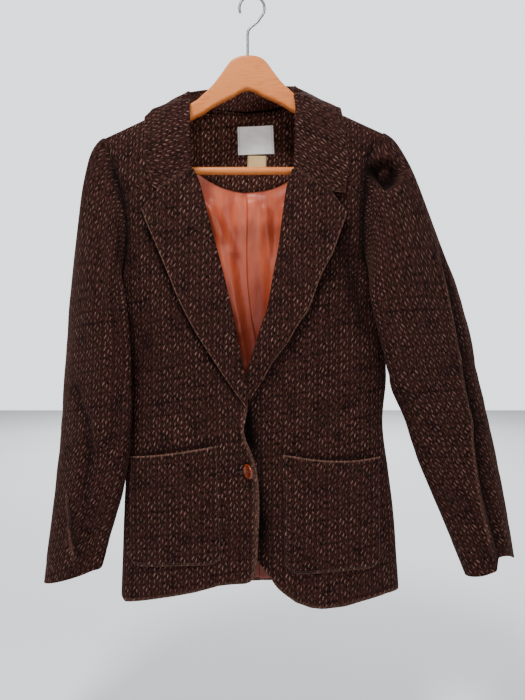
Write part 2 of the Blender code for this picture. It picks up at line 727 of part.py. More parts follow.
def make_lapels(velour):
    for side in ("right", "left"):
        grid = []
        for x, z, end_x, end_z in lapel_rows(side, 16):
            grid.append(fold_row(side, x, z, end_x, end_z, 6))
        grid = np.array(grid)
        bend_to_notch(side, grid)
        wall(f"lapel_{side}", grid, VELOUR, velour)


def bend_to_notch(side, grid):
    """The top rows bow up to the gorge seam, which runs straight from the roll to the notch."""
    top = grid[-1].copy()
    roll, tip = top[5], top[-1]
    notch_x, notch_z = NOTCH[side]
    for j in range(6, grid.shape[1] - 1):
        across = (top[j][0] - roll[0]) / (tip[0] - roll[0])
        corner = (notch_x - roll[0]) / (tip[0] - roll[0])
        if across < corner:
            want = roll[2] + (notch_z - roll[2]) * across / corner
        else:
            want = notch_z + (tip[2] - notch_z) * (across - corner) / (1 - corner)
        rise = want - top[j][2]
        for i in range(grid.shape[0]):
            share = (i / (grid.shape[0] - 1)) ** 5
            x, _, z = grid[i, j]
            old = out_from("front", side, x, z, 0.0)
            new = out_from("front", side, x, z + rise * share, 0.0)
            grid[i, j, 2] = z + rise * share
            grid[i, j, 1] += new[1] - old[1]


def keep_clear(point, clearance):
    """Move a point of the collar's leaf up or out until it clears the shoulders below it."""
    x, y, z = point
    clearance += RIDGE_CLEARANCE * bump(shoulder_z(x) - z, 28)
    rise = shoulder_z(x) + clearance - z
    if rise <= 0:
        return point
    side = side_of(x)
    height = min(z, shoulder_z(x) - 0.5)
    turn = turn_of(x, height)
    face = "front" if y <= shoulder_y(x, height) else "back"
    way = -1 if face == "front" else 1
    slope = abs(panel_normal(face, side, turn, height)[1])
    limit = panel_y(face, side, turn, x, height) + way * clearance / max(slope, 0.35)
    push = (limit - y) * way
    if push <= 0:
        return point
    if rise < push:
        return np.array([x, y, z + rise])
    return np.array([x, limit, z])


def rest_on_wood(point):
    """The stand's inner edge rides over the hanger's arm where it crosses it."""
    x, y, z = point
    wood_top = wood_place(abs(x - WOOD_MIDDLE_X), side_of(x))[1]
    beside = max(abs(y - shoulder_y(x, shoulder_z(x) - 1)) - WOOD_THICK / 2 - WOOD_MARGIN, 0)
    return np.array([x, y, max(z, wood_top + WOOD_CLEARANCE - 1.6 * beside)])


def collar_on_front(side, seam, roll, edge):
    """A section that lies on a front: behind its neck edge, round it, and out over it."""
    away = unit((edge[0] - roll[0], 0, edge[2] - roll[2]))
    root = out_from("front", side, roll[0], roll[2], 0.0)
    normal = panel_normal("front", side, turn_of(roll[0], roll[2]), roll[2])
    along = unit(away - normal * np.dot(away, normal))
    row = [out_from("front", side, seam[0], seam[2], -ROLL_RADIUS - 0.4),
           root + along * 2.0 - normal * ROLL_RADIUS]
    for degrees in (-55, 0, 55):
        turn = radians(degrees)
        row.append(root + along * (1.5 - ROLL_RADIUS * cos(turn)) + normal * ROLL_RADIUS * sin(turn))
    for column in range(1, 7):
        share = column / 6
        x, z = roll[0] + (edge[0] - roll[0]) * share, roll[2] + (edge[2] - roll[2]) * share
        lift = ROLL_RADIUS + 0.2 + 2.5 * sin(pi * share) + 1.0 * share
        row.append(out_from("front", side, x, z, lift))
    return np.array(row)


def collar_round_neck(seam, roll, edge):
    """A section behind the neck: up the stand, over the roll and down the leaf."""
    out = unit((edge - roll) * (1, 1, 0))
    up = np.array([0, 0, 1.0])
    inside = roll - out * 0.6 - up * 4.0
    shoulder = roll + out * 4.4 - up * 2.2
    row = [seam, (seam + inside) / 2, inside, roll + up * 0.4, shoulder]
    for column in range(1, 7):
        share = column / 6
        crown = sin(pi * share) * 3.0
        row.append(shoulder + (edge - shoulder) * share + out * crown + up * crown * 0.6)
    return np.array(row)


def collar_row(u):
    """A section of the collar, at u from 0 to 1 round the neck."""
    keys = length_keys([station[1] for station in COLLAR_STATIONS])
    seam, roll, edge = (along_points([station[i] for station in COLLAR_STATIONS], u, keys) for i in range(3))
    first, last = keys[STATIONS_ON_FRONT - 1], keys[-STATIONS_ON_FRONT]
    side = "right" if u < 0.5 else "left"
    if u <= first or u >= last:
        row = collar_on_front(side, seam, roll, edge)
    else:
        near = first if side == "right" else last
        meets = keys[STATIONS_ON_FRONT] if side == "right" else keys[-STATIONS_ON_FRONT - 1]
        share = smooth(near, meets, u) if side == "right" else 1 - smooth(meets, near, u)
        back = collar_round_neck(seam, roll, edge)
        row = back
        if share < 1:
            row = collar_on_front(side, seam, roll, edge) * (1 - share) + back * share
    row = [rest_on_wood(point) for point in row]
    return np.array([*row[:5], *(keep_clear(point, COLLAR_CLEARANCE) for point in row[5:])])


def meet_gorge(grid):
    """The ends of the leaf follow the gorge seam to the notch, and turn up to the collar's tip."""
    for side, order in (("right", 1), ("left", -1)):
        rows = grid[::order]
        end = rows[0].copy()
        roll, tip, notch = end[3], end[-1], NOTCH[side]
        corner = (notch[0] - roll[0]) / (tip[0] - roll[0])
        for j in range(4, len(end) - 1):
            across = (end[j][0] - roll[0]) / (tip[0] - roll[0])
            straight = roll[2] + (notch[1] + 0.7 - roll[2]) * across / corner
            beyond = notch[1] + 0.7 + (tip[2] - notch[1] - 0.7) * (across - corner) / (1 - corner)
            rise = (straight if across < corner else beyond) - end[j][2]
            for i in range(GORGE_END_ROWS):
                rows[i][j][2] += rise * (1 - i / GORGE_END_ROWS) ** 2
                if j > 4:
                    rows[i][j] = keep_clear(rows[i][j], COLLAR_CLEARANCE)


def make_collar(velour):
    grid = np.array([collar_row(i / 40) for i in range(41)])
    meet_gorge(grid)
    wall("collar", grid, VELOUR, velour)


# ------------------------------------------------------------------ pockets, facing, lining


def pocket_place(side, across, up):
    """x and z of a pocket's point, its bottom corners rounded and its mouth sagging."""
    (top_a, top_b), (low_a, low_b) = POCKET[side]["top"], POCKET[side]["bottom"]
    top = np.array(top_a) + (np.array(top_b) - np.array(top_a)) * across
    low = np.array(low_a) + (np.array(low_b) - np.array(low_a)) * across
    top[1] -= POCKET[side]["sag"] * sin(pi * across)
    width = abs(low_b[0] - low_a[0])
    near = min(across, 1 - across) * width
    if near < POCKET_CORNER:
        low[1] += POCKET_CORNER - sqrt(max(POCKET_CORNER**2 - (POCKET_CORNER - near) ** 2, 0.0))
    return low + (top - low) * up


def pocket_shares(count):
    """Columns crowd towards the rounded corners."""
    return [(1 - cos(pi * i / count)) / 2 for i in range(count + 1)]


def make_pockets(velour):
    for side in ("right", "left"):
        grid, normals = [], []
        for i in range(7):
            row, row_normals = [], []
            for across in pocket_shares(10):
                up = i / 6
                x, z = pocket_place(side, across, up)
                gape = POCKET_GAPE * up**4 * sin(pi * across)
                row.append(out_from("front", side, x, z, POCKET_STANDOFF + gape))
                row_normals.append(panel_normal("front", side, turn_of(x, z), z))
            grid.append(row)
            normals.append(row_normals)
        wall(f"pocket_{side}", np.array(grid), VELOUR, velour, np.array(normals))


def inside_back(x, z, inset):
    """A point inside the back of the blazer, set in from the middle of its cloth."""
    side = "right" if x < section(z)[0] else "left"
    return out_from("back", side, x, z, -inset)


def make_facing(velour):
    grid = []
    for i in range(19):
        x = FACING_EDGE[0][0] + (FACING_EDGE[-1][0] - FACING_EDGE[0][0]) * i / 18
        low = table_value(FACING_EDGE, x)
        high = facing_top(x)
        grid.append([inside_back(x, low + (high - low) * up, FACING_INSET) for up in row_shares(5, 1.5)])
    wall("back_neck_facing", np.array(grid), FACING_CLOTH, velour)


def facing_top(x):
    """Just under the neck seam between the neck points, and just under the shoulder seams."""
    side = side_of(x)
    return panel_top("back", side, x) - (4.5 if abs(x - CHEST_CENTRE) < 70 else 9.0)


def make_lining(satin):
    grid = []
    for j in range(19):
        share = j / 18
        row = []
        for i in range(15):
            up = i / 14
            z = LINING_HEM_Z + (-250 - LINING_HEM_Z) * up
            right = table_value(LINING_SIDE["right"], z)
            left = table_value(LINING_SIDE["left"], z)
            x = right + (left - right) * share
            top = min(table_value(FACING_EDGE, min(max(x, -150), 135)) - 1.2, -190)
            z = LINING_HEM_Z + (top - LINING_HEM_Z) * up
            middle = section(z)[0]
            pleat = PLEAT_DEPTH * bump(x - middle, PLEAT_WIDTH)
            row.append(inside_back(x, z, LINING_INSET + pleat))
        grid.append(row)
    wall("lining_back", np.array(grid), LINING_CLOTH, satin)


def make_labels(finishes):
    for name, label in LABELS.items():
        (width, height), (centre_x, centre_z) = label["size"], label["centre"]
        tilt = radians(label["tilt"])
        grid = []
        for i in range(6):
            row = []
            for j in range(5):
                across, up = (i / 5 - 0.5) * width, (j / 4 - 0.5) * height
                x = centre_x + across * cos(tilt) - up * sin(tilt)
                z = centre_z + across * sin(tilt) + up * cos(tilt)
                row.append(inside_back(x, z, label["inset"]))
            grid.append(row)
        wall(name, np.array(grid), LABEL_CLOTH, finishes[name])


def make_button(material):
    """A turned button with a raised rim, standing half through its buttonhole."""
    x, z = BUTTON["centre"]
    radius, thick = BUTTON["radius"], BUTTON["thickness"]
    profile = ((0.01, -0.15), (0.55, -0.15), (0.66, -0.45), (0.86, -0.5), (1.0, -0.2),
               (0.97, 0.35), (0.8, 0.5), (0.01, 0.5))
    seat = out_from("front", "right", x, z, 0.0)
    turn = radians(BUTTON["turn"])
    face = np.array([-sin(turn), -cos(turn), 0])
    across = np.array([cos(turn), -sin(turn), 0])
    centre = seat - np.array([0, BUTTON["seat"] + radius * sin(turn) + thick / 2, 0])
    rings = []
    for reach, depth in profile:
        ring = []
        for k in range(24):
            angle = 2 * pi * k / 24
            offset = across * cos(angle) + np.array([0, 0, 1]) * sin(angle)
            ring.append(centre + offset * radius * reach - face * depth * thick)
        rings.append(ring)
    lofted("button", rings, material)


# ------------------------------------------------------------------ hanger


def wood_place(distance, side):
    """x, and top and bottom z of the wood, at a distance from the hanger's middle."""
    sign = -1 if side == "right" else 1
    x = WOOD_MIDDLE_X + sign * distance
    tilt = sign * distance * sin(radians(WOOD_TILT))
    top = table_value(WOOD, distance) + tilt
    bottom = table_value(WOOD, distance, 2) + tilt
    if distance > ARM_TABLE_END:
        bottom -= (distance - ARM_TABLE_END) * 0.3
    blend = smooth(88, 120, distance)
    under_seam = shoulder_z(x) - ARM_BELOW_SEAM
    top += (under_seam - top) * blend
    bottom = min(bottom, top - 22) if distance > 90 else bottom
    if LOBE_START <= distance:
        bottom = LOBE_BOTTOM + 6 * max(distance - (ARM_REACH - 6), 0) / 6
    if distance > ARM_REACH - 8:
        drop = distance - (ARM_REACH - 8)
        top -= 8 - sqrt(max(64 - drop * drop, 0))
    return x, top, bottom


def wood_ring(x, top, bottom):
    """A rounded upright section of the wood."""
    y = shoulder_y(x, shoulder_z(x) - 1)
    half = WOOD_THICK / 2
    edge = 3.2
    ring = []
    for offset_y, z in ((-half, bottom + edge), (-half, top - edge - 1), (-half + 1.2, top - 1.4),
                        (-half + edge, top), (half - edge, top), (half - 1.2, top - 1.4),
                        (half, top - edge - 1), (half, bottom + edge), (half - edge, bottom),
                        (-half + edge, bottom)):
        ring.append(np.array([x, y + offset_y, z]))
    return ring


def make_hanger(wood, steel):
    steps = (3, 8, 14, 20, 26, 31, 37, 45, 54, 64, 76, 92, 112, 134, 156, 172, 180.5, 181.5, 186,
             ARM_REACH - 8, ARM_REACH - 4, ARM_REACH - 1)
    places = [wood_place(d, "right") for d in reversed(steps)]
    places += [wood_place(0, "right")] + [wood_place(d, "left") for d in steps]
    lofted("hanger_wood", [wood_ring(*place) for place in places], wood)
    make_bar(wood)
    make_hook(steel)


def make_bar(wood):
    start = WOOD_MIDDLE_X - 180.5 + 0.35
    end = WOOD_MIDDLE_X + 180.5 - 0.35
    rings = []
    for i in range(13):
        x = start + (end - start) * i / 12
        y = shoulder_y(end, shoulder_z(end) - 1)
        rings.append([np.array([x, y + BAR_RADIUS * cos(a), BAR_Z + BAR_RADIUS * sin(a)])
                      for a in (2 * pi * k / 12 for k in range(12))])
    lofted("hanger_bar", rings, wood)


def hook_route():
    """From the wood up the shank, out under the loop and over its top to the tip."""
    centre_z = HOOK_WIRE - HOOK_LOOP
    top = wood_place(0, "right")[1]
    route = [(WOOD_MIDDLE_X, top + SEAM_GAP), *HOOK_SHANK]
    for i in range(23):
        angle = radians(HOOK_SWEEP[0] + (HOOK_SWEEP[1] - HOOK_SWEEP[0]) * i / 22)
        route.append((HOOK_LOOP * cos(angle), centre_z + HOOK_LOOP * sin(angle)))
    return route


def make_hook(steel):
    route = hook_route()
    rings = []
    for i, (x, z) in enumerate(route):
        ahead = route[min(i + 1, len(route) - 1)]
        behind = route[max(i - 1, 0)]
        way = unit((ahead[0] - behind[0], 0, ahead[1] - behind[1]))
        side = np.array([way[2], 0, -way[0]])
        rings.append([np.array([x, 0, z]) + side * HOOK_WIRE * cos(a) + np.array([0, HOOK_WIRE * sin(a), 0])
                      for a in (2 * pi * k / 10 for k in range(10))])
    lofted("hanger_hook", rings, steel)


# ------------------------------------------------------------------ the whole garment


for old in list(bpy.data.objects):
    bpy.data.objects.remove(old)

VELOUR_FINISH = finish("velour", "4A2E25", 0.9)
SATIN_FINISH = finish("satin", "C4653F", 0.35)
make_panels(VELOUR_FINISH)
make_sleeves(VELOUR_FINISH)
make_lapels(VELOUR_FINISH)
make_collar(VELOUR_FINISH)
make_pockets(VELOUR_FINISH)
make_facing(VELOUR_FINISH)
make_lining(SATIN_FINISH)
make_labels({"label_main": finish("woven_label", "D8D4C8", 0.6),
             "label_size": finish("size_label", "D9B98C", 0.6)})
make_button(finish("button", "A04619", 0.35))
make_hanger(finish("wood", "C98A4E", 0.5), finish("hook_steel", "8A8C90", 0.3, 1.0))
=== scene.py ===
"""Velour blazer on a wooden hanger: the cloth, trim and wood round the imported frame.

Sizes are in millimetres until a mesh is made. "Right" and "left" are the wearer's, +Z is up and
the front faces -Y. The forms repeat the part's own sizes, with finer rows and the smaller creases.
"""

from __future__ import annotations

import json
import logging
from dataclasses import dataclass, field
from enum import Enum
from math import cos, hypot, pi, radians, sin, sqrt
from typing import Sequence, Union

import bpy
import numpy as np
from mathutils import Vector
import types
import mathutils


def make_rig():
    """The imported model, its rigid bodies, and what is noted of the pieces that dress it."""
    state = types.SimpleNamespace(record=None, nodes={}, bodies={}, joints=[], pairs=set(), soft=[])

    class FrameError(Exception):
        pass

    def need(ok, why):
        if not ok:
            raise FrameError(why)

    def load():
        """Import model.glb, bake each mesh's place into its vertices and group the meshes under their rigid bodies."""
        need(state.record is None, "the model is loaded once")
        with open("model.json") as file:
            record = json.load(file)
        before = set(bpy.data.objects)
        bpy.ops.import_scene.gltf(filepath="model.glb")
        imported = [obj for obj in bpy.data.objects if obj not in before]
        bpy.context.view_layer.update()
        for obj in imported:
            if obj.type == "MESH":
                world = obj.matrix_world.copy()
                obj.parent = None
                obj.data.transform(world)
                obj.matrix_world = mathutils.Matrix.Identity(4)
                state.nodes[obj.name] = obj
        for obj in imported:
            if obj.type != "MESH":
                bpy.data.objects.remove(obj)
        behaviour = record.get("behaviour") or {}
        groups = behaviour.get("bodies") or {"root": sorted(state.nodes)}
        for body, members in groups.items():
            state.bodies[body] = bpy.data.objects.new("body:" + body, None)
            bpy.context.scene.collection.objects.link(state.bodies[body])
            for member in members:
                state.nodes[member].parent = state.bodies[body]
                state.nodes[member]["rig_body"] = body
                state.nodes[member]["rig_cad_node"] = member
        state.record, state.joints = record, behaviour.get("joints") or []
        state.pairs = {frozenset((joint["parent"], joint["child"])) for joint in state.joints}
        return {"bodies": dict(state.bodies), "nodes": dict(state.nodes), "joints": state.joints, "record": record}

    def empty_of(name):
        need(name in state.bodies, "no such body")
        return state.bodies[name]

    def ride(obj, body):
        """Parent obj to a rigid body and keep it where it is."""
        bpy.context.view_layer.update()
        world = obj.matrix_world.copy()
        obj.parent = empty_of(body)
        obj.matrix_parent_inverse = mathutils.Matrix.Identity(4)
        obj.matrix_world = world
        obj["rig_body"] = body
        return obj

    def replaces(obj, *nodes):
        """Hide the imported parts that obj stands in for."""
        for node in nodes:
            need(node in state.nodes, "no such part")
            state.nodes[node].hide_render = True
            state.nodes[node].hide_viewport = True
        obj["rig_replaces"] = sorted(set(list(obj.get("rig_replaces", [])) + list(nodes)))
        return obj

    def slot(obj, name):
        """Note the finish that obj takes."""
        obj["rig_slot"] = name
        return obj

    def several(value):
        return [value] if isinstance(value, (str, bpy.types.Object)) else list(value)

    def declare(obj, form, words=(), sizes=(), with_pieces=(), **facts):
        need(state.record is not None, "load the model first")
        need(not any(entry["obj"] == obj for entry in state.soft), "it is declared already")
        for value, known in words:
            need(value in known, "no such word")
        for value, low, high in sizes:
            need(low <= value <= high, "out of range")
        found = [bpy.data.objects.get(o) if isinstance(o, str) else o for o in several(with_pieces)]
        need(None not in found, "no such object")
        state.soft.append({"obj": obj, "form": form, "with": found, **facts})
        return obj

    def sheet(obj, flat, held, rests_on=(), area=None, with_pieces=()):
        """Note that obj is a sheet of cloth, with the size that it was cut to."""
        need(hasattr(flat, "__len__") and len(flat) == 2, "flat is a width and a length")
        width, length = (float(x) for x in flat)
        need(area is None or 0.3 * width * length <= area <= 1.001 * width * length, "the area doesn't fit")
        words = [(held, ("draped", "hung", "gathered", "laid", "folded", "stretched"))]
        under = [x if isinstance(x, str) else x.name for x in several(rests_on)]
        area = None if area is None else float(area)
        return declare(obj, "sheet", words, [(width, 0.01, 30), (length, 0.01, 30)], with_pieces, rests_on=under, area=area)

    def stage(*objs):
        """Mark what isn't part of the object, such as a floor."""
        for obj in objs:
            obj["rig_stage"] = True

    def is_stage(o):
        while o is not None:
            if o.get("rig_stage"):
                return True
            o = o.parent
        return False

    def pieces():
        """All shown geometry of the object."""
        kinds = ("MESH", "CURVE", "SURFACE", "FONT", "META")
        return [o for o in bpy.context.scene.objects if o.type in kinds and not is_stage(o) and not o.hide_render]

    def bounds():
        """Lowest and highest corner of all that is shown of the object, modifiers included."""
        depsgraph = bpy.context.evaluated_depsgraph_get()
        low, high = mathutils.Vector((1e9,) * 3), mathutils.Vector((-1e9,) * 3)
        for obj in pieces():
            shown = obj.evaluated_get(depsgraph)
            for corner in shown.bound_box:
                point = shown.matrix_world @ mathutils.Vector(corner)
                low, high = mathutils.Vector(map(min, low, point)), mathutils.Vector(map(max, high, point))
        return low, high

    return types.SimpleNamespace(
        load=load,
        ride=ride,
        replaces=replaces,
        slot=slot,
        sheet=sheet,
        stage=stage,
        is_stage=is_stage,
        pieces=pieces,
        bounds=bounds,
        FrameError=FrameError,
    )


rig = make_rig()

MM = 0.001
UV_UNIT = 100.0  # a UV map's unit, in millimetres of cloth
BODY = "root"
LEAST_AREA_SHARE = 0.301  # of a cut's rectangle, which a sheet's area never goes under
SIDE_TURN = pi / 2 - 0.004  # the body's side seam, a hair short of a right angle
LOG = logging.getLogger("blazer")
Array = np.ndarray
Rows = tuple[tuple[float, ...], ...]
Feed = Union[bpy.types.Node, bpy.types.NodeSocket, bpy.types.ID, float, tuple]


class Side(Enum):
    """A side of the wearer, with the sign of its x."""

    RIGHT = -1
    LEFT = 1

    @property
    def word(self) -> str:
        """The side's name in the CAD nodes."""
        return self.name.lower()


class Face(Enum):
    """The front or the back of the body, with the sign of its y."""

    FRONT = -1
    BACK = 1


# ------------------------------------------------------------------ small mathematics


@dataclass(frozen=True)
class Curve:
    """A smooth curve through a table's rows that never swings past them."""

    keys: Array
    values: Array
    slopes: Array

    @classmethod
    def of(cls, rows: Sequence[Sequence[float]], column: int = 1) -> Curve:
        """A curve from a table.

        Args:
            rows: The table, keyed by its first column.
            column: The column with the values.

        Returns:
            The curve.
        """
        ordered = sorted(rows)
        keys = np.array([row[0] for row in ordered], float)
        values = np.array([row[column] for row in ordered], float)
        rises = np.diff(values) / np.diff(keys)
        slopes = np.zeros(len(keys))
        before, after = rises[:-1], rises[1:]
        both = before * after
        total = np.where(np.abs(before + after) < 1e-12, 1.0, before + after)
        slopes[1:-1] = np.where(both > 0, 2 * both / total, 0.0)
        if len(keys) == 2:
            slopes[:] = rises[0]
        return cls(keys, values, slopes)

    def __call__(self, at: Array | float) -> Array:
        """The curve's value at one or many keys."""
        at = np.clip(at, self.keys[0], self.keys[-1])
        i = np.clip(np.searchsorted(self.keys, at) - 1, 0, len(self.keys) - 2)
        step = self.keys[i + 1] - self.keys[i]
        u = (at - self.keys[i]) / step
        return hermite(self.values[i], self.values[i + 1], self.slopes[i] * step,
                       self.slopes[i + 1] * step, u)


def hermite(a: Array, b: Array, slope_a: Array, slope_b: Array, u: Array | float) -> Array:
    """The cubic from a to b with the given slopes, at u from 0 to 1."""
    return (a * (2 * u**3 - 3 * u**2 + 1) + slope_a * (u**3 - 2 * u**2 + u)
            + b * (3 * u**2 - 2 * u**3) + slope_b * (u**3 - u**2))


def smooth(edge0: float, edge1: float, value: Array | float) -> Array:
    """0 before edge0, 1 after edge1 and a soft step between them."""
    u = np.clip((value - edge0) / (edge1 - edge0), 0.0, 1.0)
    return u * u * (3 - 2 * u)


def bump(distance: Array | float, half_width: float) -> Array:
    """A soft hump of height 1."""
    return np.exp(-((distance / half_width) ** 2))


def unit(vector: Array) -> Array:
    """Vectors of length 1, along the last axis."""
    vector = np.asarray(vector, float)
    return vector / np.maximum(np.linalg.norm(vector, axis=-1, keepdims=True), 1e-9)


def refine(grid: Array, count: int, axis: int, closed: bool = False) -> Array:
    """More rows of a grid, on a smooth curve through the ones it has.

    Args:
        grid: Points in rows and columns.
        count: How many rows come out.
        axis: 0 for rows, 1 for columns.
        closed: Whether the last row joins the first.

    Returns:
        The finer grid.
    """
    grid = np.moveaxis(grid, axis, 0)
    spans = len(grid) if closed else len(grid) - 1
    at = np.linspace(0, spans, count, endpoint=not closed)
    i = np.minimum(at.astype(int), spans - 1)
    u = (at - i).reshape(-1, *[1] * (grid.ndim - 1))

    def pick(k: Array) -> Array:
        """Rows by number, round the ring or held at the ends."""
        return grid[k % len(grid)] if closed else grid[np.clip(k, 0, len(grid) - 1)]

    before, here, after, beyond = pick(i - 1), pick(i), pick(i + 1), pick(i + 2)
    fine = hermite(here, after, (after - before) / 2, (beyond - here) / 2, u)
    return np.moveaxis(fine, 0, axis)


def along_points(points: Array, u: float, keys: Array | None = None) -> Array:
    """The point on a smooth curve through points, at u from 0 to 1 of its length."""
    points = np.asarray(points, float)
    keys = length_keys(points) if keys is None else keys
    i = min(max(int(np.searchsorted(keys, u)) - 1, 0), len(points) - 2)
    before, after = points[max(i - 1, 0)], points[min(i + 2, len(points) - 1)]
    share = (u - keys[i]) / (keys[i + 1] - keys[i])
    return hermite(points[i], points[i + 1], (points[i + 1] - before) / 2, (after - points[i]) / 2, share)


def length_keys(points: Array) -> Array:
    """Shares of a path's length at its points."""
    steps = np.linalg.norm(np.diff(np.asarray(points, float), axis=0), axis=1)
    return np.concatenate([[0.0], np.cumsum(steps)]) / steps.sum()


def grid_normals(grid: Array, closed: bool = False) -> Array:
    """Normals of a grid of points, by its rows and columns."""
    down = np.gradient(grid, axis=0)
    if closed:
        round_it = (np.roll(grid, -1, axis=1) - np.roll(grid, 1, axis=1)) / 2
    else:
        round_it = np.gradient(grid, axis=1)
    return unit(np.cross(down, round_it))


def outward(grid: Array, toward: Array | None = None, closed: bool = False) -> Array:
    """A grid's normals on the side of the given ways, or away from the middle of each row."""
    normals = grid_normals(grid, closed)
    toward = grid - grid.mean(axis=1, keepdims=True) if toward is None else toward
    return normals if np.sum(toward * normals) > 0 else -normals


def toward_front(grid: Array) -> Array:
    """The way to the front at each of a grid's points."""
    return np.broadcast_to(np.array([0.0, -1.0, 0.0]), grid.shape)


def half_turn(degrees: Array) -> Array:
    """Angles from half a turn back to half a turn on."""
    return (degrees + 180) % 360 - 180


def travelled(grid: Array, axis: int, parts: Sequence[int] = (0, 1, 2)) -> Array:
    """Distance gone along a grid's rows or columns, counting only some of x, y and z."""
    steps = np.linalg.norm(np.diff(grid, axis=axis)[..., list(parts)], axis=-1)
    total = np.cumsum(steps, axis=axis)
    start = np.zeros_like(np.take(total, [0], axis=axis))
    return np.concatenate([start, total], axis=axis)


def ripple(u: Array, v: Array, seed: int, longest: float = 70.0, shortest: float = 24.0) -> Array:
    """Soft unevenness of about 1 up and down, from a few waves in fixed directions.

    Args:
        u: Place across the cloth.
        v: Place along the cloth.
        seed: Picks the waves.
        longest: The longest wave.
        shortest: The shortest wave.

    Returns:
        The height at each place.
    """
    chance = np.random.default_rng(seed)
    height = np.zeros(np.broadcast(u, v).shape)
    for _ in range(7):
        turn, phase = chance.uniform(0, pi), chance.uniform(0, 2 * pi)
        wave = chance.uniform(shortest, longest)
        run = (u * cos(turn) + v * sin(turn)) / wave * 2 * pi
        height += np.sin(run + phase + 0.8 * np.sin(run * 0.37 + phase)) * (wave / longest)
    return height / 3.0


def fold_height(folds: Rows, x: Array, z: Array) -> Array:
    """How far soft folds lift the cloth.

    Args:
        folds: x0, z0, x1, z1, height and half width of each.
        x: Place across.
        z: Place up.

    Returns:
        The lift at each place.
    """
    height = np.zeros(np.broadcast(x, z).shape)
    for x0, z0, x1, z1, rise, half_width in folds:
        run = np.array([x1 - x0, z1 - z0], float)
        inside = np.clip(((x - x0) * run[0] + (z - z0) * run[1]) / np.dot(run, run), 0.0, 1.0)
        off = np.hypot(x - x0 - inside * run[0], z - z0 - inside * run[1])
        height += rise * bump(off, half_width) * np.sin(pi * np.clip(inside, 0.06, 0.94)) ** 0.5
    return height


# ------------------------------------------------------------------ finishes


def linear(colour: str) -> tuple[float, float, float, float]:
    """A colour for a shader from its sRGB hex value."""
    parts = [int(colour[i:i + 2], 16) / 255 for i in (0, 2, 4)]
    return (*[((c + 0.055) / 1.055) ** 2.4 if c > 0.04045 else c / 12.92 for c in parts], 1.0)


def feed(tree: bpy.types.NodeTree, socket: bpy.types.NodeSocket, value: Feed) -> None:
    """Gives an input a socket's link, that of a node's first output in use, or a constant."""
    if isinstance(value, bpy.types.Node):
        value = next(output for output in value.outputs if output.enabled)
    if isinstance(value, bpy.types.NodeSocket):
        tree.links.new(value, socket)
    else:
        socket.default_value = value


def add(tree: bpy.types.NodeTree, kind: str, links: dict[str | int, Feed] | None = None,
        **settings: str) -> bpy.types.Node:
    """Adds a node with its settings and links.

    Args:
        tree: The tree that gets the node.
        kind: The node's type, a shader node's without its first word.
        links: What goes into its inputs, by name or number.
        settings: Its properties.

    Returns:
        The node.
    """
    node = tree.nodes.new(kind if "Node" in kind else f"ShaderNode{kind}")
    for name, value in settings.items():
        setattr(node, name, value)
    for key, value in (links or {}).items():
        feed(tree, node.inputs[key], value)
    return node


def ramp(node: bpy.types.Node, *stops: tuple[float, str]) -> bpy.types.Node:
    """Sets a colour ramp's stops from places and hex colours."""
    elements = node.color_ramp.elements
    while len(elements) < len(stops):
        elements.new(0.5)
    for element, (place, colour) in zip(elements, stops):
        element.position = place
        element.color = linear(colour)
    return node


def start_material(name: str) -> tuple[bpy.types.Material, bpy.types.NodeTree]:
    """A new material with its tree."""
    material = bpy.data.materials.new(name)
    material.use_nodes = True
    return material, material.node_tree


def finish_material(material: bpy.types.Material, **values: Feed) -> bpy.types.Material:
    """Sets the shader's own sockets, named with underscores, and gives the material back."""
    tree = material.node_tree
    for name, value in values.items():
        label = name.replace("_", " ").title().replace("Ior", "IOR")
        feed(tree, tree.nodes["Principled BSDF"].inputs[label], value)
    return material


